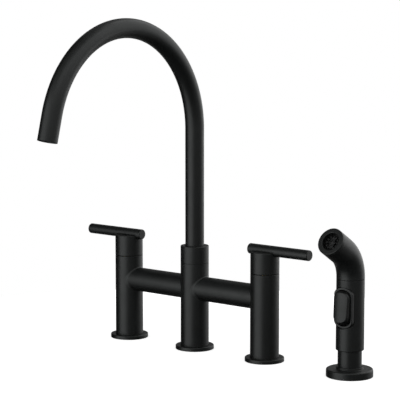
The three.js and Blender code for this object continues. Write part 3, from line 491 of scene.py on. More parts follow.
    def bevel(self, width: float, segments: int) -> None:
        """Round the picked edges by a width given in mm."""
        bpy.ops.mesh.bevel(
            offset=width * MM, offset_type="OFFSET", segments=segments, affect="EDGES"
        )

    def break_sharp_edges(
        self,
        width: float,
        segments: int = 2,
        sharp: float = 40.0,
        where: Callable[[Vector, Vector], bool] = lambda a, b: True,
    ) -> None:
        """Round the sharp edges of the whole piece, or those in one place.

        Args:
            width: how much is taken off in mm.
            segments: how many steps the round has.
            sharp: the least angle of an edge that is rounded, in degrees.
            where: says yes or no to the two ends of an edge.
        """
        self.edit()
        if self.pick_edges(where, sharp):
            self.bevel(width, segments)
        else:
            LOG.warning("%s has no sharp edge where one was to be rounded", self.obj.name)
        self.leave()

    def merge_flats(self) -> None:
        """Merge doubled corners, and the small faces of each flat into large ones."""
        self.edit()
        bpy.ops.mesh.select_all(action="SELECT")
        bpy.ops.mesh.remove_doubles(threshold=SCRAP * MM)
        bpy.ops.mesh.dissolve_limited(angle_limit=math.radians(0.5))
        self.leave()

    # -- object-mode work

    def apply(self, kind: str, **settings: object) -> None:
        """Add a modifier with these settings and apply it."""
        clear_bench()
        self.obj.select_set(True)
        bpy.context.view_layer.objects.active = self.obj
        modifier = self.obj.modifiers.new(kind.title(), kind)
        for key, value in settings.items():
            setattr(modifier, key, value)
        bpy.ops.object.modifier_apply(modifier=modifier.name)

    def combine(self, other: "Workpiece", operation: str) -> "Workpiece":
        """Cut with, join with or keep the common part of another piece, which is used up.

        Args:
            other: the other piece.
            operation: DIFFERENCE, UNION or INTERSECT.

        Returns:
            This piece.
        """
        self.apply("BOOLEAN", operation=operation, object=other.obj, solver="EXACT")
        other.discard()
        return self

    def taper(self, share: float, group: str, middle: float) -> None:
        """Widen the upper half of a vertex group sideways, and narrow its lower half as much.

        Args:
            share: how much wider its top becomes than its foot, as a share of its width.
            group: name of the vertex group that moves.
            middle: the height in mm that keeps its width.
        """
        clear_bench()
        bpy.ops.object.empty_add(location=(0.0, 0.0, middle * MM))
        pivot = bpy.context.object
        self.apply(
            "SIMPLE_DEFORM",
            deform_method="TAPER",
            deform_axis="Z",
            factor=share,
            origin=pivot,
            vertex_group=group,
            lock_y=True,
        )
        bpy.data.objects.remove(pivot)

    def wrap(self, surface: "Workpiece", group: str, axis: str, offset: float = 0.0) -> None:
        """Project a vertex group of the piece on a surface, along one axis.

        Args:
            surface: the piece that is projected on.
            group: name of the vertex group that moves.
            axis: the axis along which it moves, x or y.
            offset: how far in mm it stays off the surface.
        """
        self.apply(
            "SHRINKWRAP",
            target=surface.obj,
            wrap_method="PROJECT",
            wrap_mode="ABOVE_SURFACE" if offset else "ON_SURFACE",
            use_project_x=axis == "x",
            use_project_y=axis == "y",
            use_negative_direction=True,
            use_positive_direction=True,
            offset=offset * MM,
            vertex_group=group,
        )

    def tilt_and_move(self, place: Point = (0.0, 0.0, 0.0), tilt: Point = (0.0, 0.0, 0.0)) -> "Workpiece":
        """Turn and move the piece and bake that into its mesh.

        Args:
            place: where its own origin goes, in mm.
            tilt: its turn about X, Y and Z in degrees.

        Returns:
            This piece.
        """
        clear_bench()
        self.obj.select_set(True)
        bpy.context.view_layer.objects.active = self.obj
        self.obj.location = [part * MM for part in place]
        self.obj.rotation_euler = [math.radians(part) for part in tilt]
        bpy.ops.object.transform_apply(location=True, rotation=True, scale=True)
        return self

    def copy_to(self, places: Iterable[Point]) -> "Workpiece":
        """Copy the piece to several places, join the copies and drop the first one.

        Args:
            places: where the copies go, in mm.

        Returns:
            The joined copies as one piece.
        """
        copies = []
        for place in places:
            clear_bench()
            self.obj.select_set(True)
            bpy.context.view_layer.objects.active = self.obj
            bpy.ops.object.duplicate(linked=False)
            copies.append(Workpiece(bpy.context.object, f"{self.obj.name}_copy").tilt_and_move(place))
        self.discard()
        clear_bench()
        for made in copies:
            made.obj.select_set(True)
        bpy.context.view_layer.objects.active = copies[0].obj
        bpy.ops.object.join()
        return copies[0]

    def discard(self) -> None:
        """Throw the piece away."""
        mesh = self.obj.data
        bpy.data.objects.remove(self.obj)
        bpy.data.meshes.remove(mesh)

    def polish(self, angle: float = 40.0) -> None:
        """Drop scrap faces, smooth the shading up to an angle in degrees and weight the normals by face."""
        self.edit()
        bpy.ops.mesh.select_all(action="SELECT")
        bpy.ops.mesh.remove_doubles(threshold=SCRAP * MM)
        bpy.ops.mesh.dissolve_degenerate(threshold=SCRAP * MM)
        self.leave()
        clear_bench()
        self.obj.select_set(True)
        bpy.context.view_layer.objects.active = self.obj
        bpy.ops.object.shade_smooth_by_angle(angle=math.radians(angle))
        self.apply("WEIGHTED_NORMAL", keep_sharp=True, weight=60)


# ---------------------------------------------------------------- finishes


class NodeBoard:
    """The node tree of one finish, with short ways to add and link its nodes."""

    def __init__(self, name: str) -> None:
        """Open a material with its shader and the object's own coordinates."""
        self.material = bpy.data.materials.new(name)
        self.material.use_nodes = True
        self.nodes = self.material.node_tree.nodes
        self.links = self.material.node_tree.links
        self.shader = self.nodes["Principled BSDF"]
        self.place = self.nodes.new("ShaderNodeTexCoord").outputs["Object"]

    def link(self, source: bpy.types.NodeSocket, target: bpy.types.NodeSocket) -> None:
        """Link one socket to another."""
        self.links.new(source, target)

    def set(self, **values: object) -> None:
        """Set the shader's own sockets, named with underscores for spaces."""
        for key, value in values.items():
            self.shader.inputs[key.replace("_", " ")].default_value = value

    def stretched(self, scale: Point) -> bpy.types.NodeSocket:
        """The object's coordinates, stretched by a factor along each axis."""
        mapping = self.nodes.new("ShaderNodeMapping")
        mapping.inputs["Scale"].default_value = scale
        self.link(self.place, mapping.inputs["Vector"])
        return mapping.outputs["Vector"]

    def noise(
        self, size: float, detail: float = 2.0, scale: Point = (1.0, 1.0, 1.0)
    ) -> bpy.types.NodeSocket:
        """Soft noise from 0 to 1.

        Args:
            size: width of its spots in mm.
            detail: how many finer layers it has.
            scale: how much finer it is along each axis.

        Returns:
            The socket with the noise.
        """
        node = self.nodes.new("ShaderNodeTexNoise")
        node.inputs["Scale"].default_value = 1.0 / (size * MM)
        node.inputs["Detail"].default_value = detail
        self.link(self.stretched(scale), node.inputs["Vector"])
        return node.outputs["Fac"]

    def spread(
        self,
        value: bpy.types.NodeSocket,
        low: float,
        high: float,
        start: float = 0.3,
        stop: float = 0.7,
    ) -> bpy.types.NodeSocket:
        """Bring a value from one range into another.

        Args:
            value: the socket with the value.
            low: what the start of its range becomes.
            high: what the end of its range becomes.
            start: the start of its range.
            stop: the end of its range.

        Returns:
            The socket with the new value.
        """
        node = self.nodes.new("ShaderNodeMapRange")
        node.inputs["From Min"].default_value = start
        node.inputs["From Max"].default_value = stop
        node.inputs["To Min"].default_value = low
        node.inputs["To Max"].default_value = high
        self.link(value, node.inputs["Value"])
        return node.outputs["Result"]

    def maths(self, operation: str, first: bpy.types.NodeSocket, second: object) -> bpy.types.NodeSocket:
        """Combine a socket with another socket or with a number.

        Args:
            operation: name of the operation, such as ADD or MULTIPLY.
            first: the first socket.
            second: the second socket, or a number.

        Returns:
            The socket with the result.
        """
        node = self.nodes.new("ShaderNodeMath")
        node.operation = operation
        self.link(first, node.inputs[0])
        if isinstance(second, float):
            node.inputs[1].default_value = second
        else:
            self.link(second, node.inputs[1])
        return node.outputs["Value"]

    def blend(
        self, factor: bpy.types.NodeSocket, first: object, second: Sequence[float]
    ) -> bpy.types.NodeSocket:
        """Mix two colours by a factor.

        Args:
            factor: the socket with the factor.
            first: the colour at 0, as three numbers or a socket.
            second: the colour at 1, as three numbers.

        Returns:
            The socket with the mixed colour.
        """
        node = self.nodes.new("ShaderNodeMix")
        node.data_type = "RGBA"
        self.link(factor, node.inputs["Factor"])
        if isinstance(first, bpy.types.NodeSocket):
            self.link(first, node.inputs["A"])
        else:
            node.inputs[6].default_value = (*first, 1.0)
        node.inputs[7].default_value = (*second, 1.0)
        return node.outputs[2]

    def outer_edge_mask(self, radius: float) -> bpy.types.NodeSocket:
        """A mask that is 0 on plain faces and rises to 1 on outside edges.

        Args:
            radius: how far from the edge it reaches, in mm.

        Returns:
            The socket with the mask.
        """
        rounded = self.nodes.new("ShaderNodeBevel")
        rounded.samples = 4
        rounded.inputs["Radius"].default_value = radius * MM
        shape = self.nodes.new("ShaderNodeNewGeometry")
        dot = self.nodes.new("ShaderNodeVectorMath")
        dot.operation = "DOT_PRODUCT"
        self.link(rounded.outputs["Normal"], dot.inputs[0])
        self.link(shape.outputs["Normal"], dot.inputs[1])
        return self.spread(dot.outputs["Value"], 0.0, 1.0, start=0.98, stop=0.75)

    def raise_surface(self, layers: Sequence[tuple[bpy.types.NodeSocket, float]]) -> None:
        """Give the shader bump from several height layers.

        Args:
            layers: each height socket with the rise in mm that 0 to 1 stands for.
        """
        normal = None
        for height, rise in layers:
            bump = self.nodes.new("ShaderNodeBump")
            bump.inputs["Strength"].default_value = 1.0
            bump.inputs["Distance"].default_value = rise * MM
            self.link(height, bump.inputs["Height"])
            if normal is not None:
                self.link(normal, bump.inputs["Normal"])
            normal = bump.outputs["Normal"]
        self.link(normal, self.shader.inputs["Normal"])


@dataclass(frozen=True)
class SatinBlackCoat:
    """Satin black coating over brass: fine orange peel, soft cloudiness, and outer edges painted lighter as a
    highlight and made a little glossier.
    """

    name: str = "satin_black_coat"
    deep: Point = (0.0042, 0.0047, 0.0046)
    light: Point = (0.0068, 0.0077, 0.0075)
    gloss_tint: Point = (0.965, 1.0, 0.995)
    # painted highlight: the lighter colour painted on the coat's outer edges, standing in for the light they catch
    painted_edge_highlight: Point = (0.0260, 0.0268, 0.0260)
    roughness: float = 0.40
    peel_size: float = 0.9
    peel_rise: float = 0.010

    def make(self) -> bpy.types.Material:
        """Build the material."""
        board = NodeBoard(self.name)
        cloud = board.noise(34.0, detail=3.0)
        speck = board.noise(2.2, detail=4.0)
        # painted highlight: a mask of the outer edges, broken up by fine specks, along which the coat is painted
        # lighter and made glossier
        edges = board.maths("MULTIPLY", board.outer_edge_mask(0.7), board.spread(speck, 0.15, 0.9))
        plain = board.blend(board.spread(cloud, 0.0, 1.0), self.deep, self.light)
        board.link(board.blend(edges, plain, self.painted_edge_highlight), board.shader.inputs["Base Color"])
        smear = board.spread(board.noise(15.0, detail=4.0), -0.035, 0.035)
        grain = board.spread(speck, self.roughness - 0.02, self.roughness + 0.02)
        rough = board.maths("SUBTRACT", board.maths("ADD", smear, grain), board.spread(edges, 0.0, 0.06, 0.0, 1.0))
        board.link(rough, board.shader.inputs["Roughness"])
        board.raise_surface(
            ((board.noise(self.peel_size, detail=1.0), self.peel_rise), (board.noise(0.25), 0.0035))
        )
        board.shader.inputs["Specular Tint"].default_value = (*self.gloss_tint, 1.0)
        return board.material


@dataclass(frozen=True)
class TurnedMetal:
    """Bare metal off the lathe: fine turning rings, a few scratches and dulled patches."""

    name: str
    colour: Point
    dulled: Point
    roughness: float
    ring_pitch: float = 0.16

    def make(self) -> bpy.types.Material:
        """Build the material."""
        board = NodeBoard(self.name)
        board.set(Metallic=1.0)
        patches = board.spread(board.noise(7.0, detail=5.0), 0.0, 1.0, 0.35, 0.75)
        board.link(board.blend(patches, self.colour, self.dulled), board.shader.inputs["Base Color"])
        rings = board.noise(self.ring_pitch, detail=2.0, scale=(0.04, 0.04, 1.0))
        scratches = board.noise(0.35, detail=3.0, scale=(1.0, 0.06, 0.12))
        rough = board.maths(
            "ADD",
            board.spread(rings, self.roughness - 0.05, self.roughness + 0.05),
            board.spread(patches, 0.0, 0.12, 0.0, 1.0),
        )
        board.link(rough, board.shader.inputs["Roughness"])
        board.raise_surface(((rings, 0.006), (scratches, 0.003)))
        return board.material


@dataclass(frozen=True)
class Moulding:
    """A moulded part in plastic or rubber: faint flow marks, matte grain and paler edges."""

    name: str
    colour: Point
    flow: Point
    edge: Point
    roughness: float
    grain_size: float
    grain_rise: float

    def make(self) -> bpy.types.Material:
        """Build the material."""
        board = NodeBoard(self.name)
        flow = board.spread(board.noise(9.0, detail=3.0, scale=(1.0, 1.0, 0.3)), 0.0, 1.0)
        grain = board.noise(self.grain_size, detail=3.0)
        edges = board.maths("MULTIPLY", board.outer_edge_mask(0.35), board.spread(grain, 0.2, 0.8))
        plain = board.blend(flow, self.colour, self.flow)
        board.link(board.blend(edges, plain, self.edge), board.shader.inputs["Base Color"])
        rough = board.maths(
            "ADD",
            board.spread(grain, self.roughness - 0.05, self.roughness + 0.05),
            board.spread(flow, -0.02, 0.03, 0.0, 1.0),
        )
        board.link(rough, board.shader.inputs["Roughness"])
        board.raise_surface(((grain, self.grain_rise),))
        return board.material


@dataclass(frozen=True)
class LappedCeramic:
    """Valve disc ceramic: off-white, lapped nearly smooth, with faint round lapping marks."""

    name: str = "lapped_ceramic"
    colour: Point = (0.86, 0.84, 0.79)
    cloud: Point = (0.78, 0.76, 0.70)

    def make(self) -> bpy.types.Material:
        """Build the material."""
        board = NodeBoard(self.name)
        cloud = board.spread(board.noise(3.0, detail=4.0), 0.0, 1.0)
        board.link(board.blend(cloud, self.colour, self.cloud), board.shader.inputs["Base Color"])
        lapping = board.noise(0.22, detail=3.0, scale=(1.0, 1.0, 0.2))
        board.link(board.spread(lapping, 0.14, 0.26), board.shader.inputs["Roughness"])
        board.raise_surface(((lapping, 0.001),))
        return board.material


FINISHES = {
    Slot.MATTE_BLACK: SatinBlackCoat(),
    Slot.BRASS: TurnedMetal("turned_brass", (0.71, 0.56, 0.29), (0.52, 0.39, 0.19), 0.30),
    Slot.STEEL: TurnedMetal("bright_steel", (0.62, 0.62, 0.63), (0.48, 0.48, 0.49), 0.24),
    Slot.RUBBER: Moulding(
        "black_rubber", (0.018, 0.018, 0.018), (0.026, 0.026, 0.025), (0.05, 0.05, 0.05), 0.78, 0.5, 0.012
    ),
    Slot.CERAMIC: LappedCeramic(),
    Slot.NYLON: Moulding(
        "pale_nylon", (0.80, 0.78, 0.72), (0.72, 0.70, 0.63), (0.88, 0.87, 0.83), 0.48, 0.8, 0.008
    ),
    Slot.BLACK_PLASTIC: Moulding(
        "black_plastic", (0.014, 0.015, 0.015), (0.021, 0.022, 0.022), (0.10, 0.10, 0.10), 0.46, 0.6, 0.008
    ),
}


class FinishShelf:
    """Every finish as a material, made once and handed to the pieces."""

    def __init__(self) -> None:
        """Make all the finishes."""
        self.materials = {slot: finish.make() for slot, finish in FINISHES.items()}

    def coat(self, obj: bpy.types.Object, slot: Slot) -> None:
        """Give an object one finish all over."""
        obj.data.materials.clear()
        obj.data.materials.append(self.materials[slot])


# ---------------------------------------------------------------- sub-assemblies


class SubAssembly:
    """A group of pieces that a maker puts together and hands over finished."""

    shelf: FinishShelf

    def build(self) -> None:
        """Build every piece of the group."""
        raise NotImplementedError

    def hand_over(self, piece: Workpiece, body: Body, slot: Slot, *nodes: str) -> None:
        """Polish and coat a piece, and put it in the place of its CAD nodes.

        Args:
            piece: the finished shape.
            body: the body that it rides on.
            slot: the record's slot for its finish.
            nodes: the CAD nodes that it stands for.
        """
        piece.polish()
        self.shelf.coat(piece.obj, slot)
        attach(piece.obj, body.value)
        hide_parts(*nodes)
        LOG.info("%s: %d faces, on %s", piece.obj.name, len(piece.obj.data.polygons), body.value)


@dataclass
class PostSizes:
    """Sizes that the three posts share, in mm."""

    spacing: float = 101.6
    radius: float = 16.2
    bore: float = 12.2
    flange_bore: float = 16.5
    flange_radius: float = 22.1
    flange_height: float = 4.4
    flange_round: float = 0.8
    groove_width: float = 3.0
    groove_depth: float = 1.5
    groove_margin: float = 1.8
    bridge_height: float = 70.9
    bridge_radius: float = 13.9
    bridge_bore: float = 11.5
    bridge_gap: float = 0.3
    port_radius: float = 8.5


@dataclass
class DeckFlange(SubAssembly):
    """The round flange that a post stands in, with the groove for its gasket."""

    shelf: FinishShelf
    side: str
    x: float
    sizes: PostSizes

    def build(self) -> None:
        """Turn the flange and set it on the deck."""
        s = self.sizes
        groove_inner = s.flange_bore + s.groove_margin
        groove_outer = groove_inner + s.groove_width
        flange = Workpiece.turned(
            f"{self.side}_deck_flange",
            (
                (s.flange_bore, 0.0),
                (groove_inner, 0.0),
                (groove_inner, s.groove_depth),
                (groove_outer, s.groove_depth),
                (groove_outer, 0.0),
                (s.flange_radius, 0.0),
                (s.flange_radius, s.flange_height),
                (s.flange_bore, s.flange_height),
            ),
            breaks=(
                Break(s.flange_radius, s.flange_height, s.flange_round, 4),
                Break(s.flange_radius, 0.0, 0.25, 2),
                Break(s.flange_bore, s.flange_height, 0.25, 2),
            ),
        )
        flange.tilt_and_move((self.x, 0.0, 0.0))
        self.hand_over(flange, Body.FAUCET, Slot.MATTE_BLACK, f"{self.side}_base_flange")


@dataclass
class ValvePost(SubAssembly):
    """A valve post with the socket for its cartridge and the water port on its inward side."""

    shelf: FinishShelf
    side: Side
    sizes: PostSizes
    top: float = 98.8
    socket: float = 13.7
    ledge: float = 87.7
    edge_round: float = 0.35

    def build(self) -> None:
        """Turn the post, drill its port and set it in place."""
        s = self.sizes
        post = Workpiece.turned(
            f"{self.side.word}_post_shell",
            (
                (s.bore, 0.0),
                (s.radius, 0.0),
                (s.radius, self.top),
                (self.socket, self.top),
                (self.socket, self.ledge),
                (s.bore, self.ledge),
            ),
            breaks=(
                Break(s.radius, self.top, self.edge_round),
                Break(s.radius, 0.0, 0.25, 2),
                Break(self.socket, self.top, 0.25, 2),
            ),
        )
        post.combine(bridge_port(s, -self.side.value), "DIFFERENCE")
        post.tilt_and_move((self.side.value * s.spacing, 0.0, 0.0))
        self.hand_over(post, Body.FAUCET, Slot.MATTE_BLACK, f"{self.side.word}_valve_post")


def bridge_port(sizes: PostSizes, way: int) -> Workpiece:
    """The drill that opens a post towards a bridge tube.

    Args:
        sizes: the posts' sizes.
        way: 1 where the port opens along +X, -1 where it opens along -X.

    Returns:
        The drill, in place on a post at the origin.
    """
    radius = sizes.port_radius
    drill = Workpiece.turned("port_drill", ((radius, 0.0), (radius, sizes.radius + 1)), 48, hollow=False)
    return drill.tilt_and_move((0.0, 0.0, sizes.bridge_height), (0.0, 90.0 * way, 0.0))


@dataclass
class BridgeTube(SubAssembly):
    """A tube from the centre post to a valve post, with a small solder fillet at both ends."""

    shelf: FinishShelf
    side: Side
    sizes: PostSizes
    fillet: float = 1.1
    fillet_steps: int = 5
    sides: int = 96

    def build(self) -> None:
        """Draw the tube, fit both ends to the posts' round walls and set it in place."""
        s = self.sizes
        half = s.spacing / 2
        tube = Workpiece.ring(f"{self.side.word}_bridge", s.bridge_radius + self.fillet, -half + s.radius, self.sides)
        near = [self.start_group(tube, "near_0")]
        radius = s.bridge_radius + self.fillet
        for step in range(1, self.fillet_steps + 1):
            radius = self.next_ring(tube, radius, self.fillet_radius(step), 0.5)
            near.append(self.start_group(tube, f"near_{step}"))
        tube.pull((0.0, 0.0, 2 * half - 2 * s.radius - self.fillet_steps))
        far = [self.start_group(tube, f"far_{self.fillet_steps}")]
        for step in range(self.fillet_steps - 1, -1, -1):
            radius = self.next_ring(tube, radius, self.fillet_radius(step), 0.5)
            far.append(self.start_group(tube, f"far_{step}"))
        radius = self.next_ring(tube, radius, s.bridge_bore, 0.0)
        far.append(self.start_group(tube, "far_bore"))
        tube.pull((0.0, 0.0, -(2 * half - 2 * s.radius)))
        near.append(self.start_group(tube, "near_bore"))
        tube.bridge_open_ends()
        tube.face_outwards()
        tube.leave()
        tube.tilt_and_move((self.side.value * half, 0.0, s.bridge_height), (0.0, 90.0, 0.0))
        self.fit_end(tube, near, self.side.value * half - half, 1)
        self.fit_end(tube, far, self.side.value * half + half, -1)
        self.hand_over(tube, Body.FAUCET, Slot.MATTE_BLACK, f"{self.side.word}_bridge_tube")

    def fillet_radius(self, step: int) -> float:
        """Radius in mm of one ring of the fillet, from the post (step 0) to the plain tube."""
        angle = math.pi / 2 * step / self.fillet_steps
        return self.sizes.bridge_radius + self.fillet * (1 - math.sin(angle))

    def fillet_offset(self, step: int) -> float:
        """How far in mm one ring of the fillet stays off the post's wall."""
        angle = math.pi / 2 * step / self.fillet_steps
        return 0.03 + self.fillet * (1 - math.cos(angle))

    def next_ring(self, tube: Workpiece, radius: float, next_radius: float, rise: float) -> float:
        """Extrude one more ring and bring it to its radius.

        Args:
            tube: the tube, in edit mode with its last ring selected.
            radius: the radius of that ring in mm.
            next_radius: the radius of the new ring in mm.
            rise: how far the new ring lies further up, in mm.

        Returns:
            The new ring's radius in mm.
        """
        tube.pull((0.0, 0.0, rise))
        tube.widen(next_radius / radius, (0.0, 0.0, 0.0))
        return next_radius

    def start_group(self, tube: Workpiece, name: str) -> str:
        """Put the selected ring alone in a new vertex group.

        Args:
            tube: the tube, in edit mode with one ring selected.
            name: name of the group.

        Returns:
            The name.
        """
        for group in tube.obj.vertex_groups:
            tube.obj.vertex_groups.active_index = group.index
            bpy.ops.object.vertex_group_remove_from()
        bpy.ops.object.vertex_group_add()
        tube.obj.vertex_groups.active.name = name
        bpy.ops.object.vertex_group_assign()
        return name

    def fit_end(self, tube: Workpiece, groups: Sequence[str], x: float, way: int) -> None:
        """Fit the rings of one end to the round wall of the post that it meets.

        Args:
            tube: the tube, in place.
            groups: the rings' vertex groups.
            x: the post's X in mm.
            way: 1 where the tube leaves the post along +X, -1 along -X.
        """
        s = self.sizes
        for group in groups:
            step = 0 if group.endswith("bore") else int(group.split("_")[1])
            low, high = s.bridge_height - 2 * s.radius, s.bridge_height + 2 * s.radius
            wall = Workpiece.turned("post_wall", ((s.radius, low), (s.radius, high)), 256, hollow=False)
            wall.tilt_and_move((x + way * self.fillet_offset(step), 0.0, 0.0))
            tube.wrap(wall, group, axis="x")
            wall.discard()


@dataclass
class LeverHandle(SubAssembly):
    """A handle: the cap that turns on a valve post, the lever bar across it and its set screw."""

    shelf: FinishShelf
    side: Side
    sizes: PostSizes
    foot: float = 99.3
    top: float = 123.0
    room: float = 13.5
    room_top: float = 104.0
    hub_bore: float = 4.2
    hub_top: float = 115.7
    hub_flat: float = 3.3
    edge_round: float = 0.5
    bar_radius: float = 5.9
    bar_height: float = 124.7
    bar_long: float = 61.2
    bar_short: float = 21.0
    bar_round: float = 0.9
    saddle_gap: float = 0.3
    saddle_round: float = 0.25
    screw_radius: float = 1.9
    screw_gap: float = 0.3
    screw_height: float = 110.0
    screw_tip: float = 3.3
    screw_head: float = 12.8
    key_radius: float = 1.1
    key_depth: float = 2.5

    def build(self) -> None:
        """Build the cap, the bar and the screw."""
        x = self.side.value * self.sizes.spacing
        word = self.side.word
        cap = self.cap().tilt_and_move((x, 0.0, 0.0))
        self.hand_over(cap, self.side.handle, Slot.MATTE_BLACK, f"{word}_handle_cap")
        bar = self.bar().tilt_and_move((x, 0.0, self.bar_height), (0.0, 90.0 * self.side.value, 0.0))
        self.hand_over(bar, self.side.handle, Slot.MATTE_BLACK, f"{word}_lever_bar")
        screw = self.screw().tilt_and_move((x, 0.0, self.screw_height), (-90.0, 0.0, 0.0))
        self.hand_over(screw, self.side.handle, Slot.STEEL, f"{word}_handle_set_screw")

    def cap(self) -> Workpiece:
        """Turn the cap, cut its saddle and drill it for the screw."""
        radius = self.sizes.radius
        cap = Workpiece.turned(
            f"{self.side.word}_cap",
            (
                (self.hub_bore, self.hub_top),
                (self.hub_bore, self.room_top),
                (self.room, self.room_top),
                (self.room, self.foot),
                (radius, self.foot),
                (radius, self.top),
            ),
            hollow=False,
            breaks=(
                Break(radius, self.top, self.edge_round),
                Break(radius, self.foot, 0.35),
                Break(self.room, self.foot, 0.25, 2),
            ),
        )
        cap.combine(self.hub_key(), "UNION")
        saddle_radius = self.bar_radius + self.saddle_gap
        saddle = Workpiece.turned(
            "saddle_cutter", ((saddle_radius, -2 * radius), (saddle_radius, 2 * radius)), 64, hollow=False
        )
        cap.combine(saddle.tilt_and_move((0.0, 0.0, self.bar_height), (0.0, 90.0, 0.0)), "DIFFERENCE")
        hole_radius = self.screw_radius + self.screw_gap
        hole = Workpiece.turned(
            "screw_drill", ((hole_radius, 0.0), (hole_radius, 2 * radius)), 32, hollow=False
        )
        cap.combine(hole.tilt_and_move((0.0, 0.0, self.screw_height), (-90.0, 0.0, 0.0)), "DIFFERENCE")
        reach = saddle_radius * MM

        def on_saddle(corner: Vector) -> bool:
            """Whether a corner lies on the saddle's wall."""
            away = math.hypot(corner.y, corner.z - self.bar_height * MM)
            return abs(away - reach) < 3 * NEAR

        cap.break_sharp_edges(self.saddle_round, where=lambda a, b: on_saddle(a) and on_saddle(b))
        return cap

    def hub_key(self) -> Workpiece:
        """The flat inside the hub's bore, which turns the valve's stem."""
        clear_bench()
        bpy.ops.mesh.primitive_cube_add(size=1.0)
        key = Workpiece(bpy.context.object, "hub_key")
        depth = 1.9
        key.obj.scale = (2 * self.hub_bore * MM, depth * MM, (self.hub_top + 1 - self.room_top) * MM)
        middle = (self.hub_top + 1 + self.room_top) / 2
        return key.tilt_and_move((0.0, self.hub_flat + depth / 2, middle))

    def bar(self) -> Workpiece:
        """Turn the lever bar, upright with its long end up."""
        return Workpiece.turned(
            f"{self.side.word}_lever",
            ((self.bar_radius, -self.bar_short), (self.bar_radius, self.bar_long)),
            hollow=False,
            breaks=(
                Break(self.bar_radius, -self.bar_short, self.bar_round, 4),
                Break(self.bar_radius, self.bar_long, self.bar_round, 4),
            ),
        )

    def screw(self) -> Workpiece:
        """Turn the set screw and sink its hexagon socket."""
        screw = Workpiece.turned(
            f"{self.side.word}_set_screw",
            ((self.screw_radius, self.screw_tip), (self.screw_radius, self.screw_head)),
            32,
            hollow=False,
            breaks=(
                Break(self.screw_radius, self.screw_tip, 0.4, 2),
                Break(self.screw_radius, self.screw_head, 0.25, 2),
            ),
        )
        foot = self.screw_head - self.key_depth
        key = Workpiece.turned(
            "key_cutter", ((self.key_radius, foot), (self.key_radius, self.screw_head + 1)), 6, hollow=False
        )
        return screw.combine(key, "DIFFERENCE")


@dataclass
class CentrePost(SubAssembly):
    """The centre post with its neck and ports, and the collar over the neck."""

    shelf: FinishShelf
    sizes: PostSizes
    seam: float = 100.2
    neck_radius: float = 14.4
    neck_top: float = 107.0
    socket: float = 13.0
    ledge: float = 81.4
    collar_foot: float = 100.5
    collar_top: float = 120.0
    collar_bore: float = 11.05
    collar_lip: float = 1.6
    gap: float = 0.3

    def build(self) -> None:
        """Build the post and the collar."""
        self.hand_over(self.post(), Body.FAUCET, Slot.MATTE_BLACK, "centre_post")
        self.hand_over(self.collar(), Body.FAUCET, Slot.MATTE_BLACK, "spout_collar")

    def post(self) -> Workpiece:
        """Turn the post and drill a port to each side."""
        s = self.sizes
        post = Workpiece.turned(
            "centre_post_shell",
            (
                (s.bore, 0.0),
                (s.radius, 0.0),
                (s.radius, self.seam),
                (self.neck_radius, self.seam),
                (self.neck_radius, self.neck_top),
                (self.socket, self.neck_top),
                (self.socket, self.ledge),
                (s.bore, self.ledge),
            ),
            breaks=(
                Break(s.radius, self.seam, 0.2, 2),
                Break(s.radius, 0.0, 0.25, 2),
                Break(self.neck_radius, self.neck_top, 0.25, 2),
            ),
        )
        for way in (-1, 1):
            post.combine(bridge_port(s, way), "DIFFERENCE")
        return post

    def collar(self) -> Workpiece:
        """Turn the collar that closes the post round the spout."""
        radius = self.sizes.radius
        inner = self.neck_radius + self.gap
        roof = self.neck_top + self.gap
        lip = self.collar_top - self.collar_lip
        return Workpiece.turned(
            "collar",
            (
                (inner, self.collar_foot),
                (radius, self.collar_foot),
                (radius, self.collar_top),
                (self.collar_bore, self.collar_top),
                (self.collar_bore, lip),
                (self.socket, lip),
                (self.socket, roof),
                (inner, roof),
            ),
            breaks=(
                Break(radius, self.collar_foot, 0.2, 2),
                Break(radius, self.collar_top, 0.7, 4),
                Break(self.collar_bore, self.collar_top, 0.3, 2),
            ),
        )


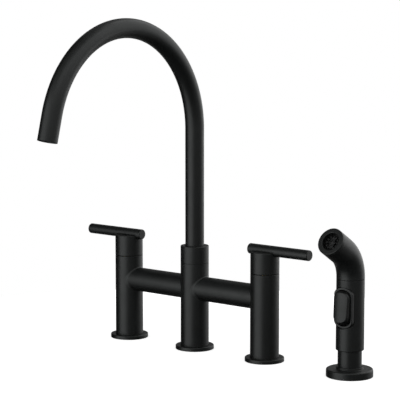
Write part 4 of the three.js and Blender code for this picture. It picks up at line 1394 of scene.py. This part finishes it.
@dataclass
class Spout(SubAssembly):
    """The round gooseneck tube, and the aerator set back in its end."""

    shelf: FinishShelf
    path: BentPath = BentPath(foot=81.7, bend=253.8, radius=116.1, angle=165.4, end=28.4, steps=80)
    radius: float = 10.75
    wall: float = 1.4
    rim_round: float = 0.4
    groove_low: float = 93.65
    groove_high: float = 95.45
    groove_depth: float = 0.75
    housing_radius: float = 9.05
    housing_bore: float = 7.75
    ledge_bore: float = 6.75
    mouth: float = -1.0
    back: float = -10.0
    ledge: float = -3.3
    screen_radius: float = 7.45
    screen_foot: float = -3.0
    screen_top: float = -1.8
    screen_hole: float = 0.8
    screen_rings: tuple[tuple[float, int], ...] = ((0.0, 1), (2.4, 6), (4.9, 12))

    def build(self) -> None:
        """Build the tube and the aerator."""
        self.hand_over(self.tube(), Body.SPOUT, Slot.MATTE_BLACK, "spout_tube")
        for piece, node in ((self.housing(), "aerator_housing"), (self.screen(), "aerator_screen")):
            piece.tilt_and_move(tuple(self.path.tip), (self.path.angle, 0.0, 0.0))
            self.hand_over(piece, Body.SPOUT, Slot.BLACK_PLASTIC, node)

    def tube(self) -> Workpiece:
        """Bend the tube, round its rims and cut the snap ring's groove."""
        tube = Workpiece.bent_tube("gooseneck", self.path, self.radius, self.wall, 96)
        tube.break_sharp_edges(self.rim_round, 3)
        inner = self.radius - self.groove_depth
        outer = self.radius + 1
        groove = Workpiece.turned(
            "groove_cutter",
            (
                (inner, self.groove_low),
                (outer, self.groove_low),
                (outer, self.groove_high),
                (inner, self.groove_high),
            ),
        )
        return tube.combine(groove, "DIFFERENCE")

    def housing(self) -> Workpiece:
        """Turn the aerator's housing, upright with its mouth up."""
        return Workpiece.turned(
            "aerator_cup",
            (
                (self.ledge_bore, self.back),
                (self.housing_radius, self.back),
                (self.housing_radius, self.mouth),
                (self.housing_bore, self.mouth),
                (self.housing_bore, self.ledge),
                (self.ledge_bore, self.ledge),
            ),
            64,
            breaks=(
                Break(self.housing_radius, self.mouth, 0.25, 2),
                Break(self.housing_bore, self.mouth, 0.25, 2),
            ),
        )

    def screen(self) -> Workpiece:
        """Turn the aerator's screen and drill its holes."""
        screen = Workpiece.turned(
            "aerator_mesh",
            ((self.screen_radius, self.screen_foot), (self.screen_radius, self.screen_top)),
            64,
            hollow=False,
        )
        drill = Workpiece.turned(
            "screen_drill",
            ((self.screen_hole, self.screen_foot - 1), (self.screen_hole, self.screen_top + 1)),
            16,
            hollow=False,
        )
        return screen.combine(drill.copy_to(ring_places(self.screen_rings)), "DIFFERENCE")


def ring_places(rings: Iterable[tuple[float, int]], height: float = 0.0) -> list[Point]:
    """Places in rings round the Z axis.

    Args:
        rings: the radius of each ring in mm and how many places it has.
        height: the height of them all in mm.

    Returns:
        The places in mm.
    """
    return [
        (radius * math.cos(math.tau * i / count), radius * math.sin(math.tau * i / count), height)
        for radius, count in rings
        for i in range(count)
    ]


@dataclass
class SprayHolder(SubAssembly):
    """The side spray's base on the deck, with the sleeve and liner that the wand stands in."""

    shelf: FinishShelf
    x: float = 216.9
    base_bore: float = 13.3
    base_radius: float = 25.4
    base_height: float = 8.3
    base_round: float = 1.5
    groove_inner: float = 15.1
    groove_outer: float = 18.1
    groove_depth: float = 1.5
    step_radius: float = 14.5
    step_top: float = 10.7
    sleeve_radius: float = 13.0
    sleeve_bore: float = 10.8
    sleeve_top: float = 28.5
    liner_radius: float = 10.5
    liner_bore: float = 9.1
    liner_foot: float = 6.0
    liner_top: float = 28.1

    def build(self) -> None:
        """Build the base, the sleeve and the liner."""
        for piece, slot, node in (
            (self.base(), Slot.MATTE_BLACK, "spray_base_flange"),
            (self.sleeve(), Slot.MATTE_BLACK, "spray_holder_sleeve"),
            (self.liner(), Slot.NYLON, "spray_holder_liner"),
        ):
            piece.tilt_and_move((self.x, 0.0, 0.0))
            self.hand_over(piece, Body.FAUCET, slot, node)

    def base(self) -> Workpiece:
        """Turn the base with its rounded edge and raised step."""
        return Workpiece.turned(
            "spray_base",
            (
                (self.base_bore, 0.0),
                (self.groove_inner, 0.0),
                (self.groove_inner, self.groove_depth),
                (self.groove_outer, self.groove_depth),
                (self.groove_outer, 0.0),
                (self.base_radius, 0.0),
                (self.base_radius, self.base_height),
                (self.step_radius, self.base_height),
                (self.step_radius, self.step_top),
                (self.base_bore, self.step_top),
            ),
            breaks=(
                Break(self.base_radius, self.base_height, self.base_round, 6),
                Break(self.base_radius, 0.0, 0.3, 2),
                Break(self.step_radius, self.base_height, 0.5),
                Break(self.step_radius, self.step_top, 0.4),
                Break(self.base_bore, self.step_top, 0.2, 2),
            ),
        )

    def sleeve(self) -> Workpiece:
        """Turn the narrow neck between the base and the wand."""
        return Workpiece.turned(
            "spray_neck",
            (
                (self.sleeve_bore, 0.0),
                (self.sleeve_radius, 0.0),
                (self.sleeve_radius, self.sleeve_top),
                (self.sleeve_bore, self.sleeve_top),
            ),
            breaks=(
                Break(self.sleeve_radius, self.sleeve_top, 0.4),
                Break(self.sleeve_bore, self.sleeve_top, 0.3, 2),
            ),
        )

    def liner(self) -> Workpiece:
        """Turn the liner that guides the wand's stem."""
        return Workpiece.turned(
            "spray_liner",
            (
                (self.liner_bore, self.liner_foot),
                (self.liner_radius, self.liner_foot),
                (self.liner_radius, self.liner_top),
                (self.liner_bore, self.liner_top),
            ),
            64,
            breaks=(Break(self.liner_bore, self.liner_top, 0.5),),
        )


@dataclass
class SprayWand(SubAssembly):
    """The spray wand: handle shell with its bezel, button, bent head, face ring and nozzle plate."""

    shelf: FinishShelf
    x: float = 216.9
    radius: float = 15.2
    bore: float = 12.8
    foot: float = 28.8
    floor: float = 31.8
    hose_hole: float = 7.7
    foot_round: float = 0.9
    seam: float = 105.6
    seam_round: float = 0.2
    bezel_half_width: float = 11.8
    bezel_low: float = 53.5
    bezel_high: float = 98.2
    bezel_front: float = 14.0
    bezel_back: float = 12.9
    bezel_round: float = 1.0
    window_round: float = 0.3
    bezel_seam_width: float = 0.45
    bezel_seam_depth: float = 1.5
    window_half_width: float = 10.0
    window_low: float = 56.0
    window_high: float = 95.4
    end_share: float = 0.72
    pin_radius: float = 1.0
    pin_gap: float = 0.3
    pin_reach: float = 10.9
    pin_y: float = -10.0
    pin_height: float = 91.0
    button_half_width: float = 9.6
    button_low: float = 57.0
    button_high: float = 94.9
    button_back: float = 14.1
    button_round: float = 1.3
    face_half_width: float = 9.4
    face_low: float = 60.6
    face_high: float = 93.6
    face_crown: float = 24.0
    face_taper: float = 0.13
    face_front_low: float = 21.3
    face_front_high: float = 19.1
    lug_half_width: float = 5.5
    lug_half_height: float = 2.3
    lug_back: float = -8.4
    head: BentPath = BentPath(foot=105.9, bend=107.8, radius=35.0, angle=58.9, end=22.2, steps=32)
    face: BentPath = BentPath(foot=105.9, bend=107.8, radius=35.0, angle=58.9, end=24.5, steps=32)
    face_lip: float = 2.0
    face_spigot: float = 5.0
    face_opening: float = 9.8
    face_round: float = 0.9
    opening_round: float = 0.7
    plate_radius: float = 12.5
    plate_foot: float = -7.6
    plate_top: float = -5.3
    plate_raised: float = 9.3
    plate_raised_top: float = -4.6
    stud_radius: float = 1.3
    stud_tip_radius: float = 1.0
    stud_height: float = 1.3
    nozzle_radius: float = 0.6
    nozzle_rings: tuple[tuple[float, int], ...] = ((3.2, 6), (6.6, 12))

    def build(self) -> None:
        """Build every piece of the wand."""
        stand = (self.x, 0.0, 0.0)
        self.hand_over(self.handle().tilt_and_move(stand), Body.WAND, Slot.MATTE_BLACK, "spray_handle_shell")
        self.hand_over(self.button().tilt_and_move(stand), Body.TRIGGER, Slot.MATTE_BLACK, "spray_button")
        self.hand_over(self.head_tube().tilt_and_move(stand), Body.WAND, Slot.MATTE_BLACK, "spray_head_shell")
        tip = tuple(self.face.tip + Vector(stand))
        tilt = (self.face.angle, 0.0, 0.0)
        ring = self.face_ring().tilt_and_move(tip, tilt)
        self.hand_over(ring, Body.WAND, Slot.MATTE_BLACK, "spray_face_ring")
        plate = self.nozzle_plate().tilt_and_move(tip, tilt)
        self.hand_over(plate, Body.WAND, Slot.BLACK_PLASTIC, "spray_nozzle_plate")

    def skin(self, radius: float) -> Workpiece:
        """A round surface about the wand's axis for a pad to follow.

        Args:
            radius: its radius in mm.

        Returns:
            The surface.
        """
        foot, top = self.bezel_low - 10, self.bezel_high + 10
        return Workpiece.turned("pad_skin", ((radius, foot), (radius, top)), 256, hollow=False)

    def crowned_skin(self) -> Workpiece:
        """The flatter surface, leaning outwards at its foot, that the button's face follows."""
        middle = (self.face_low + self.face_high) / 2
        lean = math.degrees(
            math.atan2(self.face_front_low - self.face_front_high, self.face_high - self.face_low)
        )
        front = (self.face_front_low + self.face_front_high) / 2
        skin = Workpiece.turned(
            "face_skin", ((self.face_crown, -30.0), (self.face_crown, 30.0)), 256, hollow=False
        )
        return skin.tilt_and_move((0.0, self.face_crown - front, middle), (-lean, 0.0, 0.0))

    def handle(self) -> Workpiece:
        """Turn the handle shell, set the bezel in it and drill it for the button's pin."""
        shell = Workpiece.turned(
            "wand_handle",
            (
                (self.hose_hole, self.foot),
                (self.radius, self.foot),
                (self.radius, self.seam),
                (self.bore, self.seam),
                (self.bore, self.floor),
                (self.hose_hole, self.floor),
            ),
            128,
            breaks=(
                Break(self.radius, self.foot, self.foot_round, 4),
                Break(self.radius, self.seam, self.seam_round, 2),
            ),
        )
        middle = (self.bezel_half_width + self.window_half_width) / 2
        margin = middle - self.window_half_width
        shell.combine(self.prism(middle, self.window_low - margin, self.window_high + margin), "DIFFERENCE")
        shell.combine(self.bezel_seam(), "DIFFERENCE")
        shell.combine(self.pin_drill(), "DIFFERENCE")
        bezel = self.bezel().combine(self.pin_drill(), "DIFFERENCE")
        return shell.combine(bezel, "UNION")

    def pin_drill(self) -> Workpiece:
        """The drill for the button's pin, in place across the wand."""
        radius = self.pin_radius + self.pin_gap
        drill = Workpiece.turned(
            "pin_drill", ((radius, -self.pin_reach), (radius, self.pin_reach)), 24, hollow=False
        )
        return drill.tilt_and_move((0.0, self.pin_y, self.pin_height), (0.0, 90.0, 0.0))

    def prism(self, half_width: float, low: float, high: float) -> Workpiece:
        """A straight cutter with the pad's outline, from the wand's axis out to its front.

        Args:
            half_width: half its width in mm.
            low: height of its foot in mm.
            high: height of its top in mm.

        Returns:
            The cutter.
        """
        cutter = Workpiece.pad_outline("window_cutter", half_width, low, high, self.end_share)
        bpy.ops.transform.translate(value=(0.0, 6 * MM, 0.0))
        bpy.ops.mesh.edge_face_add()
        bpy.ops.mesh.extrude_region_move(TRANSFORM_OT_translate={"value": (0.0, -30 * MM, 0.0)})
        cutter.face_outwards()
        cutter.leave()
        return cutter

    def bezel_seam(self) -> Workpiece:
        """The cutter for the fine seam in the shell all round the bezel."""
        gap = self.bezel_seam_width
        return Workpiece.curved_pad(
            "bezel_seam",
            self.bezel_half_width + gap,
            self.bezel_low - gap,
            self.bezel_high + gap,
            self.skin(self.radius + 1.0),
            self.skin(self.radius - self.bezel_seam_depth),
            end_share=self.end_share,
        )

    def bezel(self) -> Workpiece:
        """The flat-fronted frame round the button, with both its front edges rounded."""
        clear_bench()
        bpy.ops.mesh.primitive_plane_add(
            size=0.2, location=(0.0, -self.bezel_front * MM, self.pin_height * MM), rotation=(math.pi / 2, 0.0, 0.0)
        )
        bpy.ops.object.transform_apply(location=True, rotation=True, scale=True)
        plate = Workpiece.curved_pad(
            "bezel",
            self.bezel_half_width,
            self.bezel_low,
            self.bezel_high,
            Workpiece(bpy.context.object, "bezel_front"),
            self.skin(self.bezel_back),
            end_share=self.end_share,
        )
        limit = -(self.bezel_front - 0.05) * MM

        def at_front(a: Vector, b: Vector) -> bool:
            """Whether an edge lies on the bezel's front."""
            return a.y < limit and b.y < limit

        plate.break_sharp_edges(self.bezel_round, 4, where=at_front)
        plate.combine(self.prism(self.window_half_width, self.window_low, self.window_high), "DIFFERENCE")
        plate.merge_flats()
        plate.break_sharp_edges(self.window_round, 2, where=at_front)
        return plate

    def button(self) -> Workpiece:
        """Shape the button's convex face, and give it the lug that swings on the pin."""
        button = Workpiece.curved_pad(
            "wand_button",
            self.face_half_width,
            self.face_low,
            self.face_high,
            self.crowned_skin(),
            self.skin(self.button_back),
            root=(self.button_half_width, self.button_low, self.button_high),
            taper=self.face_taper,
            end_share=self.end_share,
        )
        limit = -(self.button_back + self.face_front_high) / 2 * MM

        def at_front(a: Vector, b: Vector) -> bool:
            """Whether an edge lies on the button's front."""
            return a.y < limit and b.y < limit

        button.break_sharp_edges(self.button_round, 5, where=at_front)
        clear_bench()
        bpy.ops.mesh.primitive_cube_add(size=1.0)
        lug = Workpiece(bpy.context.object, "button_lug")
        front = -self.button_back - 1
        depth = self.lug_back - front
        lug.obj.scale = (2 * self.lug_half_width * MM, depth * MM, 2 * self.lug_half_height * MM)
        lug.tilt_and_move((0.0, front + depth / 2, self.pin_height))
        button.combine(lug, "UNION")
        return button.combine(self.pin_drill(), "DIFFERENCE")

    def head_tube(self) -> Workpiece:
        """Bend the head's shell."""
        tube = Workpiece.bent_tube("wand_head", self.head, self.radius, self.radius - self.bore, 128)
        tube.break_sharp_edges(self.seam_round, 2)
        return tube

    def face_ring(self) -> Workpiece:
        """Turn the ring that closes the head, upright with its face up."""
        return Workpiece.turned(
            "wand_face_ring",
            (
                (self.face_opening, -self.face_spigot),
                (self.plate_radius, -self.face_spigot),
                (self.plate_radius, -self.face_lip),
                (self.radius, -self.face_lip),
                (self.radius, 0.0),
                (self.face_opening, 0.0),
            ),
            128,
            breaks=(
                Break(self.radius, -self.face_lip, 0.15, 2),
                Break(self.radius, 0.0, self.face_round, 5),
                Break(self.face_opening, 0.0, self.opening_round, 4),
            ),
        )

    def nozzle_plate(self) -> Workpiece:
        """Turn the nozzle plate, set its nozzles on it and drill them."""
        plate = Workpiece.turned(
            "wand_nozzle_plate",
            (
                (self.plate_radius, self.plate_foot),
                (self.plate_radius, self.plate_top),
                (self.plate_raised, self.plate_top),
                (self.plate_raised, self.plate_raised_top),
            ),
            64,
            hollow=False,
            breaks=(Break(self.plate_raised, self.plate_raised_top, 0.4),),
        )
        foot, tip = self.plate_raised_top, self.plate_raised_top + self.stud_height
        stud = Workpiece.turned(
            "nozzle_stud",
            ((self.stud_radius, foot - 0.5), (self.stud_radius, foot), (self.stud_tip_radius, tip)),
            20,
            hollow=False,
            breaks=(Break(self.stud_tip_radius, tip, 0.15, 2),),
        )
        places = ring_places(self.nozzle_rings)
        plate.combine(stud.copy_to(places), "UNION")
        radius = self.nozzle_radius
        drill = Workpiece.turned(
            "nozzle_drill",
            ((radius, self.plate_foot - 1), (radius, self.plate_raised_top + 2)),
            16,
            hollow=False,
        )
        return plate.combine(drill.copy_to(places), "DIFFERENCE")


@dataclass
class CoilSpring(SubAssembly):
    """A coil spring of round wire."""

    shelf: FinishShelf
    name: str
    node: str
    body: Body
    joint: str
    radius: float
    wire: float
    low: float
    high: float
    fixed_end: float
    travel: float
    turns: int
    place: Point = (0.0, 0.0, 0.0)
    tilt: Point = (0.0, 0.0, 0.0)
    wire_sides: int = 12
    turn_steps: int = 36

    def build(self) -> None:
        """Wind the spring, set it in place and give it a mesh of its own."""
        self.hand_over(self.coil().tilt_and_move(self.place, self.tilt), self.body, Slot.STEEL, self.node)
        turn = Euler([math.radians(part) for part in self.tilt])
        way = Vector((0.0, 0.0, 1.0))
        way.rotate(turn)
        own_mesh(bpy.data.objects[self.name])

    def coil(self) -> Workpiece:
        """Wind the wire upright about the Z axis and close its two ends."""
        clear_bench()
        bpy.ops.mesh.primitive_circle_add(
            vertices=self.wire_sides,
            radius=self.wire * MM,
            location=(self.radius * MM, 0.0, (self.low + self.wire) * MM),
            rotation=(math.pi / 2, 0.0, 0.0),
        )
        bpy.ops.object.transform_apply(location=True, rotation=True, scale=True)
        coil = Workpiece(bpy.context.object, self.name)
        coil.apply(
            "SCREW",
            axis="Z",
            angle=math.tau,
            screw_offset=(self.high - self.low - 2 * self.wire) / self.turns * MM,
            iterations=self.turns,
            steps=self.turn_steps,
            render_steps=self.turn_steps,
        )
        coil.edit()
        bpy.ops.mesh.select_all(action="SELECT")
        bpy.ops.mesh.fill_holes(sides=self.wire_sides)
        coil.face_outwards()
        coil.leave()
        return coil


@dataclass
class HiddenWorks(SubAssembly):
    """The cartridges, diverter, bearings and spray works that stay as the frame has them."""

    shelf: FinishShelf

    def build(self) -> None:
        """Give every CAD node that still shows the finish of its slot."""
        slots = {part["node"]: Slot(part["material_slot"]) for part in frame["record"]["subparts"]}
        for name, node in sorted(frame["nodes"].items()):
            if not node.hide_render:
                for place in node.material_slots:
                    place.material = self.shelf.materials[slots[name]]
                LOG.info("%s: kept, finished as %s", name, slots[name].value)


# ---------------------------------------------------------------- studio


@dataclass(frozen=True)
class SoftBox:
    """A soft lamp, placed round the object by its bearing from the camera."""

    name: str
    bearing: float
    distance: float
    height: float
    width: float
    length: float
    watts: float
    aim_height: float = 0.17

    def hang(self, azimuth: float) -> None:
        """Hang the lamp.

        Args:
            azimuth: the camera's own azimuth in degrees.
        """
        angle = math.radians(azimuth + self.bearing)
        place = Vector((math.sin(angle), -math.cos(angle), 0.0)) * self.distance
        place.z = self.height
        bpy.ops.object.light_add(type="AREA", location=place)
        lamp = bpy.context.object
        lamp.name = self.name
        lamp.data.shape = "RECTANGLE"
        lamp.data.size = self.width
        lamp.data.size_y = self.length
        lamp.data.energy = self.watts
        aim = Vector((0.05, 0.0, self.aim_height)) - place
        lamp.rotation_euler = aim.to_track_quat("-Z", "Y").to_euler()
        lamp.visible_camera = False
        lamp.visible_glossy = False


@dataclass(frozen=True)
class GlossCard:
    """A studio card that only the object's gloss sees: the softbox's face, or the dark between the lights."""

    name: str
    shade: float

    def dress(self, card: bpy.types.Object) -> None:
        """Paint the card, and hide it from all but the glossy rays.

        Args:
            card: the card's object.
        """
        card.visible_camera = False
        card.visible_diffuse = False
        card.visible_transmission = False
        card.visible_shadow = False
        material = bpy.data.materials.new(f"{self.name}_paint")
        material.use_nodes = True
        nodes = material.node_tree.nodes
        nodes.clear()
        glow = nodes.new("ShaderNodeEmission")
        glow.inputs["Color"].default_value = (self.shade, self.shade, self.shade, 1.0)
        output = nodes.new("ShaderNodeOutputMaterial")
        material.node_tree.links.new(glow.outputs["Emission"], output.inputs["Surface"])
        card.data.materials.append(material)


@dataclass(frozen=True)
class WallCard(GlossCard):
    """A card that stands round the object, from one bearing from the camera to another."""

    start: float
    stop: float
    low: float = -2.0
    high: float = 5.0
    radius: float = 2.4

    def put_up(self, azimuth: float) -> None:
        """Build the card.

        Args:
            azimuth: the camera's own azimuth in degrees.
        """
        clear_bench()
        first = math.radians(azimuth + self.start - 90.0)
        bpy.ops.mesh.primitive_plane_add(size=1.0)
        card = bpy.context.object
        card.name = self.name
        corner = (math.cos(first) * self.radius, math.sin(first) * self.radius)
        bpy.ops.object.mode_set(mode="EDIT")
        mesh = bmesh.from_edit_mesh(card.data)
        for index, vert in enumerate(mesh.verts):
            vert.co = (*corner, self.low if index % 2 else self.high)
        bmesh.update_edit_mesh(card.data)
        bpy.ops.mesh.select_all(action="SELECT")
        bpy.ops.mesh.remove_doubles(threshold=NEAR)
        bpy.ops.mesh.select_mode(type="EDGE")
        bpy.ops.mesh.select_all(action="SELECT")
        bpy.ops.mesh.spin(
            steps=32, angle=-math.radians(self.stop - self.start), center=(0.0, 0.0, 0.0), axis=(0.0, 0.0, 1.0)
        )
        bpy.ops.object.mode_set(mode="OBJECT")
        self.dress(card)


@dataclass(frozen=True)
class FlatCard(GlossCard):
    """A round card that lies level."""

    radius: float
    height: float

    def put_up(self, _azimuth: float) -> None:
        """Lay the card.

        Args:
            _azimuth: the camera's own azimuth, which a round card doesn't need.
        """
        clear_bench()
        bpy.ops.mesh.primitive_circle_add(
            vertices=96, radius=self.radius, fill_type="NGON", location=(0.0, 0.0, self.height)
        )
        card = bpy.context.object
        card.name = self.name
        self.dress(card)


@dataclass
class Studio:
    """The camera, the pale floor and the soft light round the object."""

    azimuth: float = 39.88
    elevation: float = 7.34
    distance: float = 1.91018
    target: Point = (0.00789, 0.0, 0.17236)
    lens: float = 150.55
    ambient: float = 0.40
    floor_radius: float = 0.45
    floor_middle: Point = (0.03, -0.06, 0.0)
    lamps: tuple[SoftBox, ...] = (
        SoftBox("key_softbox", -60.0, 1.2, 0.35, 0.85, 1.0, 4.0),
        SoftBox("overhead_softbox", 60.0, 1.0, 1.15, 1.2, 1.0, 4.0),
    )
    cards: tuple[WallCard | FlatCard, ...] = (
        WallCard("back_card", 0.17, -195.0, -150.0, -1.86, 5.30),
        WallCard("left_card", 0.0, -150.0, -85.0, -1.86, 5.30),
        WallCard("low_front_card", 0.02, -30.0, 90.0, -1.86, -0.36),
        WallCard("low_right_card", 0.29, 90.0, 165.0, -1.86, -0.36),
        WallCard("key_card", 1.56, -85.0, -30.0, -0.36, 0.66),
        WallCard("front_card", 0.28, -15.0, 95.0, -0.36, 0.66),
        WallCard("right_card", 1.3, 105.0, 165.0, -0.36, 0.66),
        WallCard("high_front_card", 0.53, -30.0, 60.0, 0.66, 1.83),
        WallCard("top_left_card", 0.27, -105.0, -30.0, 1.83, 5.30),
        FlatCard("top_card", 0.18, 2.4, 5.30),
        FlatCard("low_card", 0.02, 2.4, -1.86),
    )

    def build(self) -> None:
        """Set up the whole studio."""
        self.place_camera()
        self.lay_floor()
        self.light_world()
        for lamp in self.lamps:
            lamp.hang(self.azimuth)
        for card in self.cards:
            card.put_up(self.azimuth)
        bpy.context.scene.view_settings.view_transform = "Standard"

    def place_camera(self) -> None:
        """Set the camera at the photograph's viewing angle."""
        azimuth, elevation = math.radians(self.azimuth), math.radians(self.elevation)
        away = Vector(
            (
                math.cos(elevation) * math.sin(azimuth),
                -math.cos(elevation) * math.cos(azimuth),
                math.sin(elevation),
            )
        )
        bpy.ops.object.camera_add(location=Vector(self.target) + self.distance * away)
        camera = bpy.context.object
        camera.name = "studio_camera"
        camera.rotation_euler = (-away).to_track_quat("-Z", "Y").to_euler()
        camera.data.sensor_width = 36.0
        camera.data.lens = self.lens
        camera.data.clip_start = 0.01
        camera.data.clip_end = 60.0
        bpy.context.scene.camera = camera

    def lay_floor(self) -> None:
        """Lay the pale floor disc that the object's shadow falls on."""
        clear_bench()
        bpy.ops.mesh.primitive_circle_add(
            vertices=96, radius=self.floor_radius, fill_type="NGON", location=self.floor_middle
        )
        floor = bpy.context.object
        floor.name = "studio_floor"
        material = bpy.data.materials.new("pale_floor")
        material.use_nodes = True
        nodes, links = material.node_tree.nodes, material.node_tree.links
        nodes.clear()
        paint = nodes.new("ShaderNodeBsdfDiffuse")
        paint.inputs["Color"].default_value = (0.80, 0.80, 0.80, 1.0)
        glow = nodes.new("ShaderNodeEmission")
        both = nodes.new("ShaderNodeAddShader")
        output = nodes.new("ShaderNodeOutputMaterial")
        place = nodes.new("ShaderNodeTexCoord")
        length = nodes.new("ShaderNodeVectorMath")
        length.operation = "LENGTH"
        fade = nodes.new("ShaderNodeMapRange")
        fade.inputs["From Min"].default_value = 0.55 * self.floor_radius
        fade.inputs["From Max"].default_value = 0.95 * self.floor_radius
        fade.inputs["To Min"].default_value = 0.72
        fade.inputs["To Max"].default_value = 1.0
        seen = background_rays(nodes, links)
        strength = nodes.new("ShaderNodeMath")
        strength.operation = "MULTIPLY"
        links.new(place.outputs["Object"], length.inputs[0])
        links.new(length.outputs["Value"], fade.inputs["Value"])
        links.new(fade.outputs["Result"], strength.inputs[0])
        links.new(seen, strength.inputs[1])
        links.new(strength.outputs["Value"], glow.inputs["Strength"])
        links.new(paint.outputs["BSDF"], both.inputs[0])
        links.new(glow.outputs["Emission"], both.inputs[1])
        links.new(both.outputs["Shader"], output.inputs["Surface"])
        floor.data.materials.append(material)
        floor.visible_glossy = False

    def light_world(self) -> None:
        """Make the world white where it is seen, and a plain grey where it lights."""
        world = bpy.data.worlds.new("studio_world")
        world.use_nodes = True
        nodes, links = world.node_tree.nodes, world.node_tree.links
        nodes.clear()
        soft = nodes.new("ShaderNodeBackground")
        soft.inputs["Strength"].default_value = self.ambient
        white = nodes.new("ShaderNodeBackground")
        white.inputs["Color"].default_value = (1.0, 1.0, 1.0, 1.0)
        white.inputs["Strength"].default_value = 1.0
        soft.inputs["Color"].default_value = (1.0, 1.0, 1.0, 1.0)
        either = nodes.new("ShaderNodeMixShader")
        output = nodes.new("ShaderNodeOutputWorld")
        links.new(background_rays(nodes, links), either.inputs[0])
        links.new(soft.outputs["Background"], either.inputs[1])
        links.new(white.outputs["Background"], either.inputs[2])
        links.new(either.outputs["Shader"], output.inputs["Surface"])
        bpy.context.scene.world = world


def background_rays(nodes: bpy.types.Nodes, links: bpy.types.NodeLinks) -> bpy.types.NodeSocket:
    """A value that is 1 for the rays that see the background: camera, glossy and transmission.

    Args:
        nodes: the nodes of the tree that it is built in.
        links: the links of that tree.

    Returns:
        The socket with the value.
    """
    path = nodes.new("ShaderNodeLightPath")
    value = path.outputs["Is Camera Ray"]
    for kind in ("Is Glossy Ray", "Is Transmission Ray"):
        more = nodes.new("ShaderNodeMath")
        more.operation = "MAXIMUM"
        links.new(value, more.inputs[0])
        links.new(path.outputs[kind], more.inputs[1])
        value = more.outputs["Value"]
    return value


# ---------------------------------------------------------------- the whole faucet


def main() -> None:
    """Build the faucet piece by piece, then the studio round it."""
    logging.basicConfig(level=logging.INFO, format="%(levelname)s %(message)s")
    shelf = FinishShelf()
    sizes = PostSizes()
    groups: list[SubAssembly] = []
    for side in Side:
        groups.append(DeckFlange(shelf, side.word, side.value * sizes.spacing, sizes))
        groups.append(ValvePost(shelf, side, sizes))
        groups.append(BridgeTube(shelf, side, sizes))
        groups.append(LeverHandle(shelf, side, sizes))
    groups.append(DeckFlange(shelf, "centre", 0.0, sizes))
    groups.append(CentrePost(shelf, sizes))
    groups.append(Spout(shelf))
    groups.append(SprayHolder(shelf))
    groups.append(SprayWand(shelf))
    groups.append(
        CoilSpring(
            shelf,
            name="diverter_coil",
            node="diverter_spring",
            body=Body.FAUCET,
            joint="diverter_shift",
            radius=4.6,
            wire=0.6,
            low=59.6,
            high=77.7,
            fixed_end=77.9,
            travel=4.0,
            turns=5,
        )
    )
    groups.append(
        CoilSpring(
            shelf,
            name="plunger_coil",
            node="spray_plunger_spring",
            body=Body.WAND,
            joint="spray_plunger_slide",
            radius=2.4,
            wire=0.22,
            low=-11.83,
            high=-9.77,
            fixed_end=-9.7,
            travel=1.5,
            turns=3,
            place=(216.9, 0.0, 71.0),
            tilt=(-90.0, 0.0, 0.0),
        )
    )
    groups.append(HiddenWorks(shelf))
    for group in groups:
        LOG.info("building %s", type(group).__name__)
        group.build()
    clear_bench()
    Studio().build()
    clear_bench()


if __name__ == "__main__":
    main()
